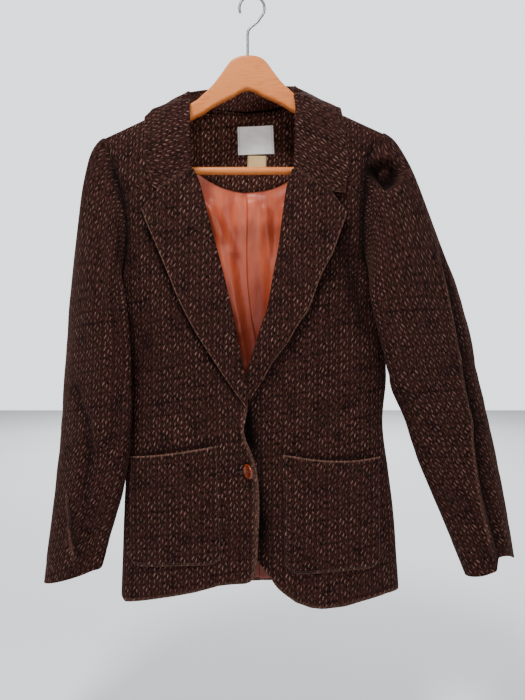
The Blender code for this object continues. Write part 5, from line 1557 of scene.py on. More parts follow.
    def armhole_ring(self, side: Side) -> tuple[Array, Array, Array, Array]:
        """The body's cloth round an armhole.

        Args:
            side: The wearer's side.

        Returns:
            Its points, sunk as the panels' edges are, normals and ways out, and how near each is to
            the underarm.
        """
        top_z, low_z = self.form.shoulder[side][1][1], self.form.underarm_z[side]
        angle = 2 * pi * np.arange(self.sides) / self.sides
        z = np.minimum((top_z + low_z) / 2 + (top_z - low_z) / 2 * np.cos(angle), top_z - 0.05)
        places, normals = np.zeros((self.sides, 3)), np.zeros((self.sides, 3))
        for k in range(self.sides):
            face = Face.FRONT if angle[k] <= pi else Face.BACK
            hole = self.form.turn_of(self.form.holes[face, side](z[k]), z[k])
            turn = side.value * (SIDE_TURN if z[k] <= low_z else min(abs(float(hole)), SIDE_TURN))
            turn, height = np.asarray(turn), np.asarray(z[k])
            places[k] = self.form.point(face, side, turn, height)
            normals[k] = self.form.normal(face, side, turn, height)
            places[k] -= normals[k] * float(self.form.sink(face, side, places[k][0], height))
        along = np.roll(places, -1, axis=0) - np.roll(places, 1, axis=0)
        outs = unit(np.cross(along, normals))
        outs = np.where((outs[:, 0] * side.value > -0.2)[:, None], outs, -outs)
        outs[[0, 1, -1]] = unit(np.array([side.value * 0.93, 0, -0.36]))
        return places, normals, outs, smooth(low_z + 75, low_z + 8, places[:, 2])

    def section(self, row: Array, angle: Array) -> Array:
        """Points of a section: angle 0 at its outer side, a quarter turn at its front."""
        outer_x, outer_z, inner_x, inner_z, front, back, lean = row
        stretch = sqrt(1 + lean * lean)
        middle = np.array([(outer_x + inner_x) / 2, (front + back) / 2, (outer_z + inner_z) / 2])
        half = np.array([(outer_x - inner_x) / 2, 0, (outer_z - inner_z) / 2]) / stretch
        depth = np.array([0, (front - back) / 2, 0])
        angle = np.asarray(angle)[..., None]
        return middle + half * (np.cos(angle) - lean * np.sin(angle)) + depth * np.sin(angle)

    def row(self, side: Side, down: float) -> Array:
        """A row of the sleeve's table, down from 0 under the cap to 1 at the cuff."""
        table = self.table[side]
        keyed = [(i / (len(table) - 1), *row) for i, row in enumerate(table)]
        return np.array([float(Curve.of(keyed, column)(down)) for column in range(1, 8)])

    def plain(self, side: Side) -> Array:
        """The sleeve's smooth form, from the armhole seam to the cuff."""
        places, normals, outs, low = self.armhole_ring(side)
        low = low[:, None]
        angle = 2 * pi * np.arange(self.sides) / self.sides
        end = self.section(self.row(side, 0.0), angle)
        below = self.section(self.row(side, 0.08), angle)
        start = places - outs * self.cap_stand * (1 - low)
        start += normals * (self.cap_stand * (1 - low) + self.underarm_stand * low)
        span = np.linalg.norm(end - start, axis=1, keepdims=True)
        over = np.maximum(np.cos(angle), 0)[:, None]
        top = over ** 2
        lead = unit(outs * (1 - low) + normals * (0.55 - 0.4 * top) + np.array([side.value * 0.25, 0, -0.1])
                    - np.array([0, 0, 0.3]) * top)
        drop = unit(normals * 0.5 + np.array([side.value * 0.15, 0, -1.0]))
        reach = self.cap_reach[side] * (0.45 + 0.55 * over)
        reach += (self.underarm_drop - reach) * low
        slope_a = unit(lead * (1 - low) + drop * low) * reach
        slope_b = unit(below - end) * span * 0.9
        cap = [hermite(start, end, slope_a, slope_b, (i / self.cap_rows) ** 1.25)
               for i in range(self.cap_rows)]
        arm = [self.section(self.row(side, i / self.arm_rows), angle) for i in range(self.arm_rows + 1)]
        return np.array(cap + arm)

    def rise(self, rows: Rows, down: Array, degrees: Array) -> Array:
        """The sum of folds, creases, or the painted light and shade of folds, at places down and round the sleeve."""
        height = np.zeros(np.broadcast(down, degrees).shape)
        for start, end, from_round, to_round, lift, half_width in rows:
            share = (down - start) / (end - start)
            fade = smooth(-0.15, 0.15, share) * (1 - smooth(0.85, 1.15, share))
            centre = from_round + (to_round - from_round) * share
            height += lift * fade * bump(half_turn(degrees - centre), half_width)
        return height

    def gathers(self, down: Array, degrees: Array) -> Array:
        """Ease puckers of the cap, beside the armhole seam over the shoulder."""
        over_top = bump(half_turn(degrees), 75)
        return self.gather_height * np.sin(np.radians(degrees) * 21) * over_top * bump(down - 0.035, 0.04)

    def soften(self, grid: Array, down: Array) -> Array:
        """Eases the bend where the cap meets the arm, by averaging rows there."""
        share = (smooth(0.14, 0.24, down) * (1 - smooth(0.34, 0.46, down)))[:, :, None]
        for _ in range(3):
            spread = sum(np.roll(grid, step, axis=0) for step in range(-6, 7)) / 13
            grid = grid + (spread - grid) * share
        return grid

    def dimple(self, grid: Array, down: Array) -> tuple[Array, Array]:
        """The pucker sunk in the cap, its flap inside it and the brow under it.

        Args:
            grid: The sleeve's points.
            down: How far down the sleeve each row is.

        Returns:
            The height that it adds, and the painted highlight on its flap with the painted shade in its hollow.
        """
        (wide, high), (centre_x, centre_z) = self.dimple_radius, self.dimple_centre
        x, z = grid[..., 0] - centre_x, grid[..., 2] - centre_z
        narrowing = 0.62 + 0.38 * smooth(-high, high * 0.6, z)
        off = np.hypot(x / wide / narrowing, z / high)
        front = (grid[..., 1] < -2) * smooth(0, 0.02, down)
        flap = bump(np.hypot(x - self.flap_place[0], z - self.flap_place[1]), self.flap_size)
        height = self.flap_height * flap - self.dimple_depth * (1 - smooth(0.55, 1.1, off))
        height += self.brow_height * bump(off - 1.4, 0.35) * smooth(6, -16, z)
        return height * front, (0.65 * flap - 0.9 * (1 - smooth(0.7, 1.08, off))) * front

    def cloth(self, side: Side) -> Cloth:
        """The finished surface of one sleeve."""
        shares = np.concatenate([np.linspace(0, self.cap_share, self.cap_rows, endpoint=False),
                                 np.linspace(self.cap_share, 1, self.arm_rows + 1)])
        at = np.linspace(0, len(shares) - 1, self.fine_rows)
        down = np.interp(at, np.arange(len(shares)), shares)[:, None]
        degrees = (np.arange(self.fine_sides) * 360 / self.fine_sides)[None, :]
        grid = refine(refine(self.plain(side), self.fine_rows, 0), self.fine_sides, 1, closed=True)
        grid = self.soften(grid, down)
        out = outward(grid, closed=True)
        around = np.radians(degrees)
        height = self.rise(self.folds[side] + self.creases[side], down, degrees) * smooth(0, 0.14, down)
        height += self.gathers(down, degrees)
        height += self.unevenness * smooth(0, 0.1, down) * ripple(
            60 * np.cos(around) + 0 * down, 60 * np.sin(around) + 600 * down, 43 + side.value)
        height -= 0.35 * bump(down - self.cuff_turning, 0.008)
        # Wear and painted highlight at the cuff.
        worn = worn_edges(grid.shape, last=0.3)
        # Painted highlight on the ridges and painted shade in the troughs of the folds.
        worn += np.clip(self.rise(self.lays[side], down, degrees), -self.most_pressed, self.most_worn)
        # Painted shade along the armhole seam, away from the sleeve's outer side.
        worn -= 0.9 * bump(down, 0.034) * smooth(35, 60, np.abs(half_turn(degrees)))
        if side is Side.LEFT:
            # Painted highlight on the dimple's flap and painted shade in its hollow.
            deeper, lay = self.dimple(grid, down)
            height += deeper
            worn += lay
            strip = smooth(-14, 46, half_turn(degrees)) * (1 - smooth(52, 62, half_turn(degrees)))
            grid[..., 2] += self.cuff_step * strip * smooth(0.84, 1.0, down)
        grid = grid + out * height[..., None]
        looped = np.concatenate([grid, grid[:, :1]], axis=1)
        over = travelled(looped, 1)
        over -= over[:, self.fine_sides // 4][:, None]
        uv = np.stack([over, -travelled(looped, 0).mean(axis=1, keepdims=True) + 0 * over], axis=-1)
        lined = (down[:-1] < self.cuff_turning - 0.02) & np.ones((1, self.fine_sides), bool)
        return Cloth(f"sleeve_{side.word}_cloth", grid, uv, self.thickness, closed=True, lined=lined,
                     worn=np.clip(worn, -0.9, 1.0))

    def build(self) -> None:
        """Makes both sleeves."""
        for side in Side:
            hang(self.cloth(side), (self.finishes.velour, self.finishes.satin), "velour",
                 [f"top_sleeve_{side.word}", f"under_sleeve_{side.word}"],
                 ["front_" + side.word, "back_" + side.word])


# ------------------------------------------------------------------ lapels, collar, pockets


@dataclass
class Tailoring:
    """Lapels, collar and patch pockets: made from the fronts' surface, moved out."""

    form: BodyForm
    finishes: Finishes
    thickness: float = 2.0
    roll_radius: float = 3.6
    roll_slant: float = 0.25
    lapel_return: float = 12.0
    lapel_lift: float = 8.0
    roll_top_z: float = -253.0
    lapel_outer: dict = field(default_factory=lambda: {
        # x, z, from the break up to the tip
        Side.RIGHT: ((-7, -570), (-15, -557), (-34, -530), (-54, -500), (-74, -468), (-94, -428),
                     (-107.5, -395), (-121.5, -361), (-135.5, -327), (-142.5, -307.7)),
        Side.LEFT: ((-3, -560), (14.7, -532), (28.4, -508), (46.4, -484), (62.4, -457), (76, -437),
                    (92, -393), (102, -370), (116, -335), (124, -312))})
    notch: dict = field(default_factory=lambda: {Side.RIGHT: (-124.0, -280.0), Side.LEFT: (105.0, -283.0)})
    stations: tuple = (
        # the neck seam, the roll's top and the leaf's outer edge, each x, y, z
        ((-93, 0, -252.2), (-82.5, 0, -252.2), (-130.5, 0, -277)),
        ((-92.5, 0, -220), (-84.5, 0, -218), (-139, 0, -243)),
        ((-92.5, 0, -190), (-86, 0, -180), (-142.5, 0, -208)),
        ((-92, 0, -163), (-88, 0, -152), (-143.5, 0, -188)),
        ((-90, 2, -146), (-89, 0, -134), (-144, 0, -168)),
        ((-82, 14, -146.5), (-87, 20, -127), (-134, 33, -178)),
        ((-62, 30, -146.5), (-66, 40, -117), (-96, 62, -182)),
        ((-36, 39, -146.5), (-38, 49, -113), (-50, 66, -175)),
        ((-12, 42, -146.5), (-12, 52, -111.5), (-12, 67, -172)),
        ((12, 40, -145.5), (14, 49, -111), (28, 66, -172)),
        ((38, 31, -143.5), (40, 40, -112), (76, 61, -176)),
        ((58, 14, -141), (58, 20, -119), (110, 32, -170)),
        ((64, 2, -138.5), (59.5, 0, -127), (119, 0, -159.5)),
        ((67.5, 0, -154), (61, 0, -144), (121.5, 0, -178)),
        ((68.5, 0, -182), (62, 0, -172), (124.5, 0, -202)),
        ((69, 0, -220), (61, 0, -212), (128, 0, -243)),
        ((70, 0, -252.2), (59.5, 0, -252.2), (124, 0, -284)),
    )
    stations_on_front: int = 4
    collar_rows: int = 60
    leaf_columns: int = 6
    clearance: float = 2.9
    ridge_clearance: float = 3.7
    gorge_share: float = 0.175
    pocket: dict = field(default_factory=lambda: {
        Side.RIGHT: {"top": ((-164, -640), (-44.6, -622)), "bottom": ((-167, -787),
        (-38.5, -778)), "sag": 1.5},
        Side.LEFT: {"top": ((43, -634), (173, -640)), "bottom": ((46, -793), (174, -786)), "sag": 5.0}})
    pocket_size: tuple[float, float] = (128.0, 150.0)  # about as wide and high as both pockets are
    pocket_corner: float = 18.0
    pocket_standoff: float = 2.9
    pocket_gape: float = 6.0
    stitch_inset: float = 3.0
    lapel_grid: tuple[int, int] = (46, 10)  # rows and columns of the coarse form
    lapel_fine: tuple[int, int] = (130, 62)
    collar_fine: tuple[int, int] = (210, 64)
    pressed_groove: float = 0.45  # beside the edge stitching of the lapels and the collar

    def lapel_row(self, side: Side, edge_x: float, z: float, end_x: float, end_z: float) -> Array:
        """A row of a lapel: behind the front's edge, round it and out over it.

        Args:
            side: The wearer's side.
            edge_x: The roll line's x.
            z: Its height.
            end_x: The outer edge's x.
            end_z: Its height.

        Returns:
            The row's points.
        """
        away = unit(np.array([side.value, 0, -self.roll_slant]))
        edge = self.form.out(Face.FRONT, side, edge_x, z, 0.0)
        normal = self.form.normal(Face.FRONT, side, self.form.turn_of(edge_x, z), np.asarray(z))
        along = unit(away - normal * np.dot(away, normal))
        span = hypot(end_x - edge_x, end_z - z)
        root = edge + along * min(self.lapel_return, span * 0.5)
        row = [self.form.out(Face.FRONT, side, root[0], root[2], -self.roll_radius),
               edge + along * 1.5 - normal * self.roll_radius]
        for degrees in (-50, 0, 50):
            turn = radians(degrees)
            row.append(edge + along * (0.5 - (self.roll_radius + 0.2) * cos(turn))
                       + normal * self.roll_radius * sin(turn))
        share = np.linspace(0, 1, self.lapel_grid[1] + 1)
        distance = 2.0 + (span - 2.0) * share
        belly = np.sin(pi * np.minimum(share, 0.5)) ** 2 * 0.55 + 0.45 * share**3
        lift = self.roll_radius + self.lapel_lift * min(span / 60, 1) * belly
        x = edge_x + (end_x - edge_x) * distance / span
        row += list(self.form.out(Face.FRONT, side, x, z + (end_z - z) * distance / span, lift))
        return np.array(row)

    def lapel(self, side: Side) -> Cloth:
        """One lapel, with its edge ironed flat and a soft roll."""
        outer = [(x, 0.0, z) for x, z in self.lapel_outer[side]]
        low, high = self.form.break_z + 8, self.roll_top_z - 0.6
        grid = []
        for u in np.linspace(0, 1, self.lapel_grid[0] + 1):
            z = low + (high - low) * u
            end = along_points(outer, u)
            grid.append(self.lapel_row(side, float(self.form.edges[side](z)), z, end[0], end[2]))
        rows, columns = self.lapel_fine
        grid = refine(refine(self.to_notch(side, np.array(grid)), rows, 0), columns, 1)
        uv = np.stack([grid[..., 0] + (grid[:, :1, 1] - grid[..., 1]) * 0.5, grid[..., 2]], axis=-1)
        toward = np.zeros_like(grid)
        toward[:, -1] = (0, -1, 0)
        share = np.linspace(0, 1, columns)[None, :]
        height = 0.5 * ripple(grid[..., 0], grid[..., 2], 71 + side.value, 80, 40)
        height -= self.pressed_groove * bump((share - 0.93) * 60, 1.6)
        height *= smooth(0.35, 0.5, share) * smooth(0, 0.08, np.linspace(0, 1, rows)[:, None])
        # Wear and painted highlight along the lapel's outer edge, faintly along its top.
        return Cloth(f"lapel_{side.word}_cloth", grid + outward(grid, toward) * height[..., None], uv,
                     self.thickness, toward=toward, worn=worn_edges(grid.shape, end=0.5, last=0.1))

    def to_notch(self, side: Side, grid: Array) -> Array:
        """Bows the top rows up to the gorge seam, which runs straight from the roll to the notch."""
        top = grid[-1].copy()
        roll, tip = top[5], top[-1]
        notch_x, notch_z = self.notch[side]
        rows, columns = grid.shape[:2]
        corner = (notch_x - roll[0]) / (tip[0] - roll[0])
        share = (np.arange(rows) / (rows - 1)) ** 5
        for j in range(6, columns - 1):
            across = (top[j][0] - roll[0]) / (tip[0] - roll[0])
            if across < corner:
                want = roll[2] + (notch_z - roll[2]) * across / corner
            else:
                want = notch_z + (tip[2] - notch_z) * (across - corner) / (1 - corner)
            x, z = grid[:, j, 0], grid[:, j, 2]
            new_z = z + (want - top[j][2]) * share
            before, after = (self.form.out(Face.FRONT, side, x, height, 0.0)[:, 1] for height in (z, new_z))
            grid[:, j, 1] += after - before
            grid[:, j, 2] = new_z
        return grid

    def keep_clear(self, points: Array) -> Array:
        """Moves points of the collar's leaf up or out until they clear the shoulders below them."""
        done = []
        for x, y, z in points.reshape(-1, 3):
            top = float(self.form.shoulder_z(x))
            clearance = self.clearance + self.ridge_clearance * float(bump(top - z, 28))
            rise = top + clearance - z
            if rise > 0:
                side = Side.RIGHT if x < self.form.chest_centre else Side.LEFT
                height = np.asarray(min(z, top - 0.5))
                turn = self.form.turn_of(np.asarray(x), height)
                face = Face.FRONT if y <= self.form.shoulder_y(x, height) else Face.BACK
                slope = abs(float(self.form.normal(face, side, turn, height)[1]))
                middle = float(self.form.point(face, side, turn, height)[1])
                limit = middle + face.value * clearance / max(slope, 0.35)
                push = (limit - y) * face.value
                if push > 0:
                    z, y = (z + rise, y) if rise < push else (z, limit)
            done.append((x, y, z))
        return np.array(done).reshape(points.shape)

    def on_front(self, side: Side, seam: Array, roll: Array, edge: Array) -> Array:
        """A collar section that lies on a front: behind its neck edge, round it and out over it."""
        away = unit(np.array([edge[0] - roll[0], 0, edge[2] - roll[2]]))
        root = self.form.out(Face.FRONT, side, roll[0], roll[2], 0.0)
        normal = self.form.normal(Face.FRONT, side, self.form.turn_of(roll[0], roll[2]), np.asarray(roll[2]))
        along = unit(away - normal * np.dot(away, normal))
        row = [self.form.out(Face.FRONT, side, seam[0], seam[2], -self.roll_radius - 0.4),
               root + along * 2.0 - normal * self.roll_radius]
        for degrees in (-55, 0, 55):
            turn = radians(degrees)
            row.append(root + along * (1.5 - self.roll_radius * cos(turn))
                       + normal * self.roll_radius * sin(turn))
        share = np.arange(1, self.leaf_columns + 1) / self.leaf_columns
        lift = self.roll_radius + 0.2 + 2.5 * np.sin(pi * share) + 1.0 * share
        x, z = roll[0] + (edge[0] - roll[0]) * share, roll[2] + (edge[2] - roll[2]) * share
        row += list(self.form.out(Face.FRONT, side, x, z, lift))
        return np.array(row)

    def round_neck(self, seam: Array, roll: Array, edge: Array) -> Array:
        """A collar section behind the neck: up the stand, over the roll and down the leaf."""
        out = unit((edge - roll) * (1, 1, 0))
        up = np.array([0, 0, 1.0])
        inside = roll - out * 0.6 - up * 4.0
        shoulder = roll + out * 4.4 - up * 2.2
        row = [seam, (seam + inside) / 2, inside, roll + up * 0.4, shoulder]
        for column in range(1, self.leaf_columns + 1):
            share = column / self.leaf_columns
            crown = sin(pi * share) * 3.0
            row.append(shoulder + (edge - shoulder) * share + out * crown + up * crown * 0.6)
        return np.array(row)

    def collar_section(self, u: float) -> Array:
        """A section of the collar, at u from 0 to 1 round the neck."""
        keys = length_keys([station[1] for station in self.stations])
        seam, roll, edge = (along_points(points, u, keys) for points in zip(*self.stations))
        on = self.stations_on_front
        first, last = keys[on - 1], keys[-on]
        side = Side.RIGHT if u < 0.5 else Side.LEFT
        if u <= first or u >= last:
            row = self.on_front(side, seam, roll, edge)
        else:
            right = side is Side.RIGHT
            share = smooth(first, keys[on], u) if right else 1 - smooth(keys[-on - 1], last, u)
            flat, round_it = self.on_front(side, seam, roll, edge), self.round_neck(seam, roll, edge)
            row = flat * (1 - share) + round_it * share
        return np.array([*row[:5], *self.keep_clear(row[5:])])

    def collar(self) -> Cloth:
        """The collar, its leaf rolled over its stand and its ends cut to the notches."""
        grid = np.array([self.collar_section(i / self.collar_rows) for i in range(self.collar_rows + 1)])
        self.meet_gorge(grid)
        rows, columns = self.collar_fine
        grid = refine(refine(grid, rows, 0), columns, 1)
        across = travelled(grid, 1)
        uv = np.stack([travelled(grid, 0).mean(axis=1, keepdims=True) + 0 * across, across], axis=-1)
        toward = np.zeros_like(grid)
        toward[:10, -6:] = toward[-10:, -6:] = (0, -1, 0)
        share = np.linspace(0, 1, columns)[None, :]
        height = 0.4 * ripple(uv[..., 0], uv[..., 1], 83, 90, 45)
        height -= self.pressed_groove * bump((share - 0.94) * 75, 1.6)
        height *= smooth(0.4, 0.55, share)
        # Wear and painted highlight along the collar's ends, faintly along its outer edge.
        return Cloth("collar_cloth", grid + outward(grid, toward) * height[..., None], uv, self.thickness,
                     toward=toward, worn=worn_edges(grid.shape, end=0.15, first=0.35, last=0.35))

    def meet_gorge(self, grid: Array) -> None:
        """The leaf's ends follow the gorge seam to the notch and turn up to the collar's tip."""
        ends = round(self.collar_rows * self.gorge_share)
        for side, order in ((Side.RIGHT, 1), (Side.LEFT, -1)):
            rows = grid[::order]
            end = rows[0].copy()
            roll, tip, notch = end[3], end[-1], self.notch[side]
            corner = (notch[0] - roll[0]) / (tip[0] - roll[0])
            for j in range(4, len(end) - 1):
                across = (end[j][0] - roll[0]) / (tip[0] - roll[0])
                straight = roll[2] + (notch[1] + 0.7 - roll[2]) * across / corner
                beyond = notch[1] + 0.7 + (tip[2] - notch[1] - 0.7) * (across - corner) / (1 - corner)
                rise = (straight if across < corner else beyond) - end[j][2]
                for i in range(ends):
                    rows[i][j][2] += rise * (1 - i / ends) ** 2
                    if j > 4:
                        rows[i][j] = self.keep_clear(rows[i][j])

    def pocket_place(self, side: Side, across: Array, up: Array) -> tuple[Array, Array]:
        """x and z of a pocket's points, its bottom corners rounded and its mouth sagging."""
        (top_a, top_b), (low_a, low_b) = self.pocket[side]["top"], self.pocket[side]["bottom"]
        top_x, top_z = (top_a[k] + (top_b[k] - top_a[k]) * across for k in (0, 1))
        low_x, low_z = (low_a[k] + (low_b[k] - low_a[k]) * across for k in (0, 1))
        top_z = top_z - self.pocket[side]["sag"] * np.sin(pi * across)
        near = np.minimum(across, 1 - across) * abs(low_b[0] - low_a[0])
        reach = np.maximum(self.pocket_corner - near, 0)
        low_z = low_z + self.pocket_corner - np.sqrt(np.maximum(self.pocket_corner**2 - reach**2, 0))
        return low_x + (top_x - low_x) * up, low_z + (top_z - low_z) * up

    def pocket_stand(self, across: Array, up: Array) -> Array:
        """How far a pocket's middle stands off the front, more where its mouth gapes."""
        return self.pocket_standoff + self.pocket_gape * up**4 * np.sin(pi * across)

    def pocket_cloth(self, side: Side) -> Cloth:
        """One patch pocket: its mouth gapes a little, and its hem and edges are ironed."""
        across = ((1 - np.cos(pi * np.linspace(0, 1, 62))) / 2)[None, :]
        up = np.linspace(0, 1, 70)[:, None]
        x, z = self.pocket_place(side, across, up)
        height = 0.45 * ripple(x, z, 91 + side.value, 70, 35)
        height = height * smooth(0, 0.2, up) * np.sin(pi * across) ** 0.5
        wide, high = self.pocket_size
        for inwards in (np.minimum(across, 1 - across) * wide, up * high):
            height = height - 0.5 * bump(inwards - self.stitch_inset, 1.7)
        grid = self.form.out(Face.FRONT, side, x, z, self.pocket_stand(across, up) + height)
        # Wear and painted highlight along the pocket's mouth, fainter round its other edges.
        return Cloth(f"pocket_{side.word}_cloth", grid, np.stack([x + 4.0, z], axis=-1), self.thickness,
                     toward=toward_front(grid),
                     worn=worn_edges(grid.shape, last=0.5, first=0.25, start=0.05, end=0.1))

    def pocket_stitches(self, side: Side) -> list[Array]:
        """The line that holds a pocket: down one side, round the bottom and up the other."""
        near, low = (self.stitch_inset / size for size in self.pocket_size)
        down = np.stack([np.full(60, near), np.linspace(1, low, 60)])
        along = np.stack([np.linspace(near, 1 - near, 90), np.full(90, low)])
        back = np.stack([np.full(60, 1 - near), np.linspace(low, 1, 60)])
        across, up = np.concatenate([down, along[:, 1:-1], back], axis=1)
        x, z = self.pocket_place(side, across, up)
        stand = self.pocket_stand(across, up) + self.thickness / 2 - 0.35
        return [self.form.out(Face.FRONT, side, x, z, stand)]

    def build(self) -> None:
        """Makes the lapels, the collar and the pockets with their stitches."""
        velour = (self.finishes.velour,)
        stitches = StitchTree(self.finishes.thread)
        for side in Side:
            front = ["front_" + side.word]
            hang(self.lapel(side), velour, "velour", [f"lapel_{side.word}"], front)
            pocket = self.pocket_cloth(side)
            piece = dress(pocket.build(velour), "velour", f"pocket_{side.word}")
            rows = stitches.run(f"pocket_{side.word}_stitches", self.pocket_stitches(side), Pitch=3.4 * MM,
                                Length=2.5 * MM, Radius=0.4 * MM)
            declare_sheet(pocket, piece, front, [dress(rows, "velour")])
        hang(self.collar(), velour, "velour", ["collar"],
             ["front_left", "front_right", "back_left", "back_right"])


@dataclass
class Button:
    """The one button that shows: turned half through its buttonhole, and leaning."""

    form: BodyForm
    finishes: Finishes
    centre: tuple[float, float] = (-4.5, -654.0)
    radius: float = 10.0
    thickness: float = 3.2
    turn: float = 54.0
    lean: float = 13.0
    seat: float = -0.45
    # reach from its middle, and depth from the face towards the cloth, as shares
    profile: Rows = ((0.0, -0.15), (0.18, -0.15), (0.4, -0.16), (0.54, -0.2), (0.6, -0.3), (0.66, -0.42),
                     (0.74, -0.5), (0.84, -0.5), (0.92, -0.42), (0.98, -0.24), (1.0, -0.02), (0.99, 0.2),
                     (0.95, 0.38), (0.87, 0.48), (0.75, 0.5), (0.4, 0.5), (0.0, 0.5))
    pole: float = 0.012  # the least reach, which keeps the disc's middle from closing to a point
    hole_reach: float = 0.2
    strand: float = 0.45  # between the strands of the cross of thread
    slit: float = 21.0
    slit_half_height: float = 1.5
    edge_clear: float = 4.0

    def frame(self) -> tuple[Array, Array, Array]:
        """The button's middle, its way across and its way out."""
        turn = radians(self.turn)
        seat = self.form.out(Face.FRONT, Side.RIGHT, *self.centre, 0.0)
        middle = seat - np.array([0, self.seat + self.radius * sin(turn) + self.thickness / 2, 0])
        return middle, np.array([cos(turn), -sin(turn), 0]), np.array([-sin(turn), -cos(turn), 0])

    def body(self) -> bpy.types.Object:
        """The turned disc with its dished middle and raised rim, leaning to one side."""
        middle, across, out = self.frame()
        lean = radians(self.lean)
        upright = unit(np.array([0, 0, cos(lean)]) - across * sin(lean))
        angle = np.linspace(0, 2 * pi, 64, endpoint=False)[:, None]
        round_it = across * np.cos(angle) + upright * np.sin(angle)
        rings = [middle + round_it * self.radius * max(reach, self.pole) - out * depth * self.thickness
                 for reach, depth in self.profile]
        return loft_object("button_disc", np.array(rings), self.finishes.button)

    def thread_paths(self) -> list[Array]:
        """The cross of thread in the dished middle."""
        middle, across, out = self.frame()
        face = middle + out * self.thickness * 0.2
        span = np.linspace(-1, 1, 9)[:, None]
        paths = []
        for up in (1.0, -1.0):
            way = unit(across + np.array([0, 0, up]))
            for shift in (-self.strand, 0.0, self.strand):
                along = way * self.radius * self.hole_reach * span
                paths.append(face + np.cross(way, out) * shift + along + out * 0.35 * (1 - span**2))
        return paths

    def buttonhole_path(self) -> list[Array]:
        """The close stitches round the slit in the right front."""
        angle = np.linspace(0, 2 * pi, 90)
        x = self.centre[0] - 1.5 + self.slit / 2 * np.sign(np.cos(angle)) * np.abs(np.cos(angle)) ** 0.7
        z = self.centre[1] - 2.0 + self.slit_half_height * np.sin(angle)
        edge = float(self.form.edges[Side.RIGHT](self.centre[1])) - self.edge_clear
        return [self.form.out(Face.FRONT, Side.RIGHT, np.minimum(x, edge), z, 1.15)]

    def build(self) -> None:
        """Makes the button, its thread and the buttonhole."""
        dress(self.body(), "button", "button")
        wire, stitches = WireTree(self.finishes.thread), StitchTree(self.finishes.thread)
        dress(wire.run("button_thread", self.thread_paths(), Radius=0.28 * MM, Step=0.5 * MM), "velour")
        hole = stitches.run("buttonhole_stitches", self.buttonhole_path(), Pitch=0.9 * MM, Length=1.3 * MM,
                            Radius=0.5 * MM)
        dress(hole, "velour")


# ------------------------------------------------------------------ hanger


@dataclass
class Hanger:
    """The shaped wooden hanger with its bar and wire hook."""

    form: BodyForm
    finishes: Finishes
    # distance, top, bottom
    wood: Rows = (
        (0, -82.4, -130.6), (8, -83.0, -132.5), (20, -87, -139.5), (28, -95, -143), (35, -105, -146.5),
        (49, -123, -154), (63, -136.5, -163), (71, -143.5, -167), (82, -149.5, -173), (110, -163, -190),
        (150, -182, -208), (172, -192, -219))
    middle_x: float = -6.0
    thick: float = 13.0
    corner: float = 4.2
    tilt: float = 1.5
    below_seam: float = 2.7
    least_height: float = 22.0
    table_end: float = 172.0
    arm_reach: float = 199.0
    end_radius: float = 8.0
    lobe_start: float = 181.0
    lobe_bottom: float = -254.0
    bar_z: float = -245.7
    bar_radius: float = 5.4
    bar_end: float = 180.5
    wire: float = 1.9
    loop: float = 17.5
    shank: Rows = ((-6.0, -70.0), (-6.0, -60.0), (-6.0, -52.0), (-5.2, -47.0), (-2.0, -42.6), (3.0, -38.6),
                   (8.5, -34.0))
    sweep: tuple[float, float] = (-46.0, 202.0)

    def arm(self, distance: float, sign: int) -> tuple[float, float, float]:
        """x, top and bottom of the wood at a distance from its middle."""
        x = self.middle_x + sign * distance
        tilt = sign * distance * sin(radians(self.tilt))
        top, bottom = (float(Curve.of(self.wood, column)(distance)) + tilt for column in (1, 2))
        bottom -= max(distance - self.table_end, 0) * 0.3
        top += (float(self.form.shoulder_z(x)) - self.below_seam - top) * float(smooth(88, 120, distance))
        bottom = min(bottom, top - self.least_height) if distance > 90 else bottom
        if distance >= self.lobe_start:
            bottom = self.lobe_bottom + max(distance - (self.arm_reach - 6), 0)
        past = distance - (self.arm_reach - self.end_radius)
        if past > 0:
            top -= self.end_radius - sqrt(max(self.end_radius**2 - past**2, 0))
        return x, top, bottom

    def seam_y(self, x: float) -> float:
        """How far forward the wood lies under the shoulder seam."""
        return float(self.form.shoulder_y(x, float(self.form.shoulder_z(x)) - 1))

    def section(self, x: float, top: float, bottom: float) -> Array:
        """A rounded upright section of the wood."""
        y, inner = self.seam_y(x), self.thick / 2 - self.corner
        ring = []
        for side_y, side_z, first in ((-1, -1, 180), (1, -1, 270), (1, 1, 0), (-1, 1, 90)):
            middle_z = (top if side_z > 0 else bottom) - side_z * self.corner
            for k in range(7):
                angle = radians(first + 15 * k)
                ring.append((x, y + side_y * inner + self.corner * cos(angle),
                             middle_z + self.corner * sin(angle)))
        return np.array(ring)

    def build(self) -> None:
        """Makes the arms, the bar and the hook."""
        steps = np.concatenate([np.linspace(0, self.lobe_start - 1, 110), [self.lobe_start - 0.4],
                                np.linspace(self.lobe_start, self.arm_reach - 1, 22)])
        places = [self.arm(d, -1) for d in steps[::-1]] + [self.arm(d, 1) for d in steps[1:]]
        rings = np.array([self.section(*place) for place in places])
        dress(loft_object("hanger_arms", rings, self.finishes.wood), "wood", "hanger_wood")
        start, end = (self.middle_x + sign * (self.bar_end - 0.35) for sign in (-1, 1))
        angle = np.linspace(0, 2 * pi, 32, endpoint=False)
        round_it = np.stack([0 * angle, np.cos(angle), np.sin(angle)], axis=-1) * self.bar_radius
        dowel = np.array([round_it + (x, self.seam_y(end), self.bar_z) for x in np.linspace(start, end, 40)])
        dress(loft_object("hanger_dowel", dowel, self.finishes.wood), "wood", "hanger_bar")
        route = [(self.middle_x, 0, self.arm(0, -1)[1] + 0.35)] + [(x, 0, z) for x, z in self.shank]
        for degrees in np.linspace(*self.sweep, 60):
            turn = radians(degrees)
            route.append((self.loop * cos(turn), 0, self.wire - self.loop + self.loop * sin(turn)))
        hook = WireTree(self.finishes.wire).run("hook_wire", [np.array(route)], Radius=self.wire * MM,
                                                Step=1.2 * MM)
        dress(hook, "hook_wire", "hanger_hook")


# ------------------------------------------------------------------ studio


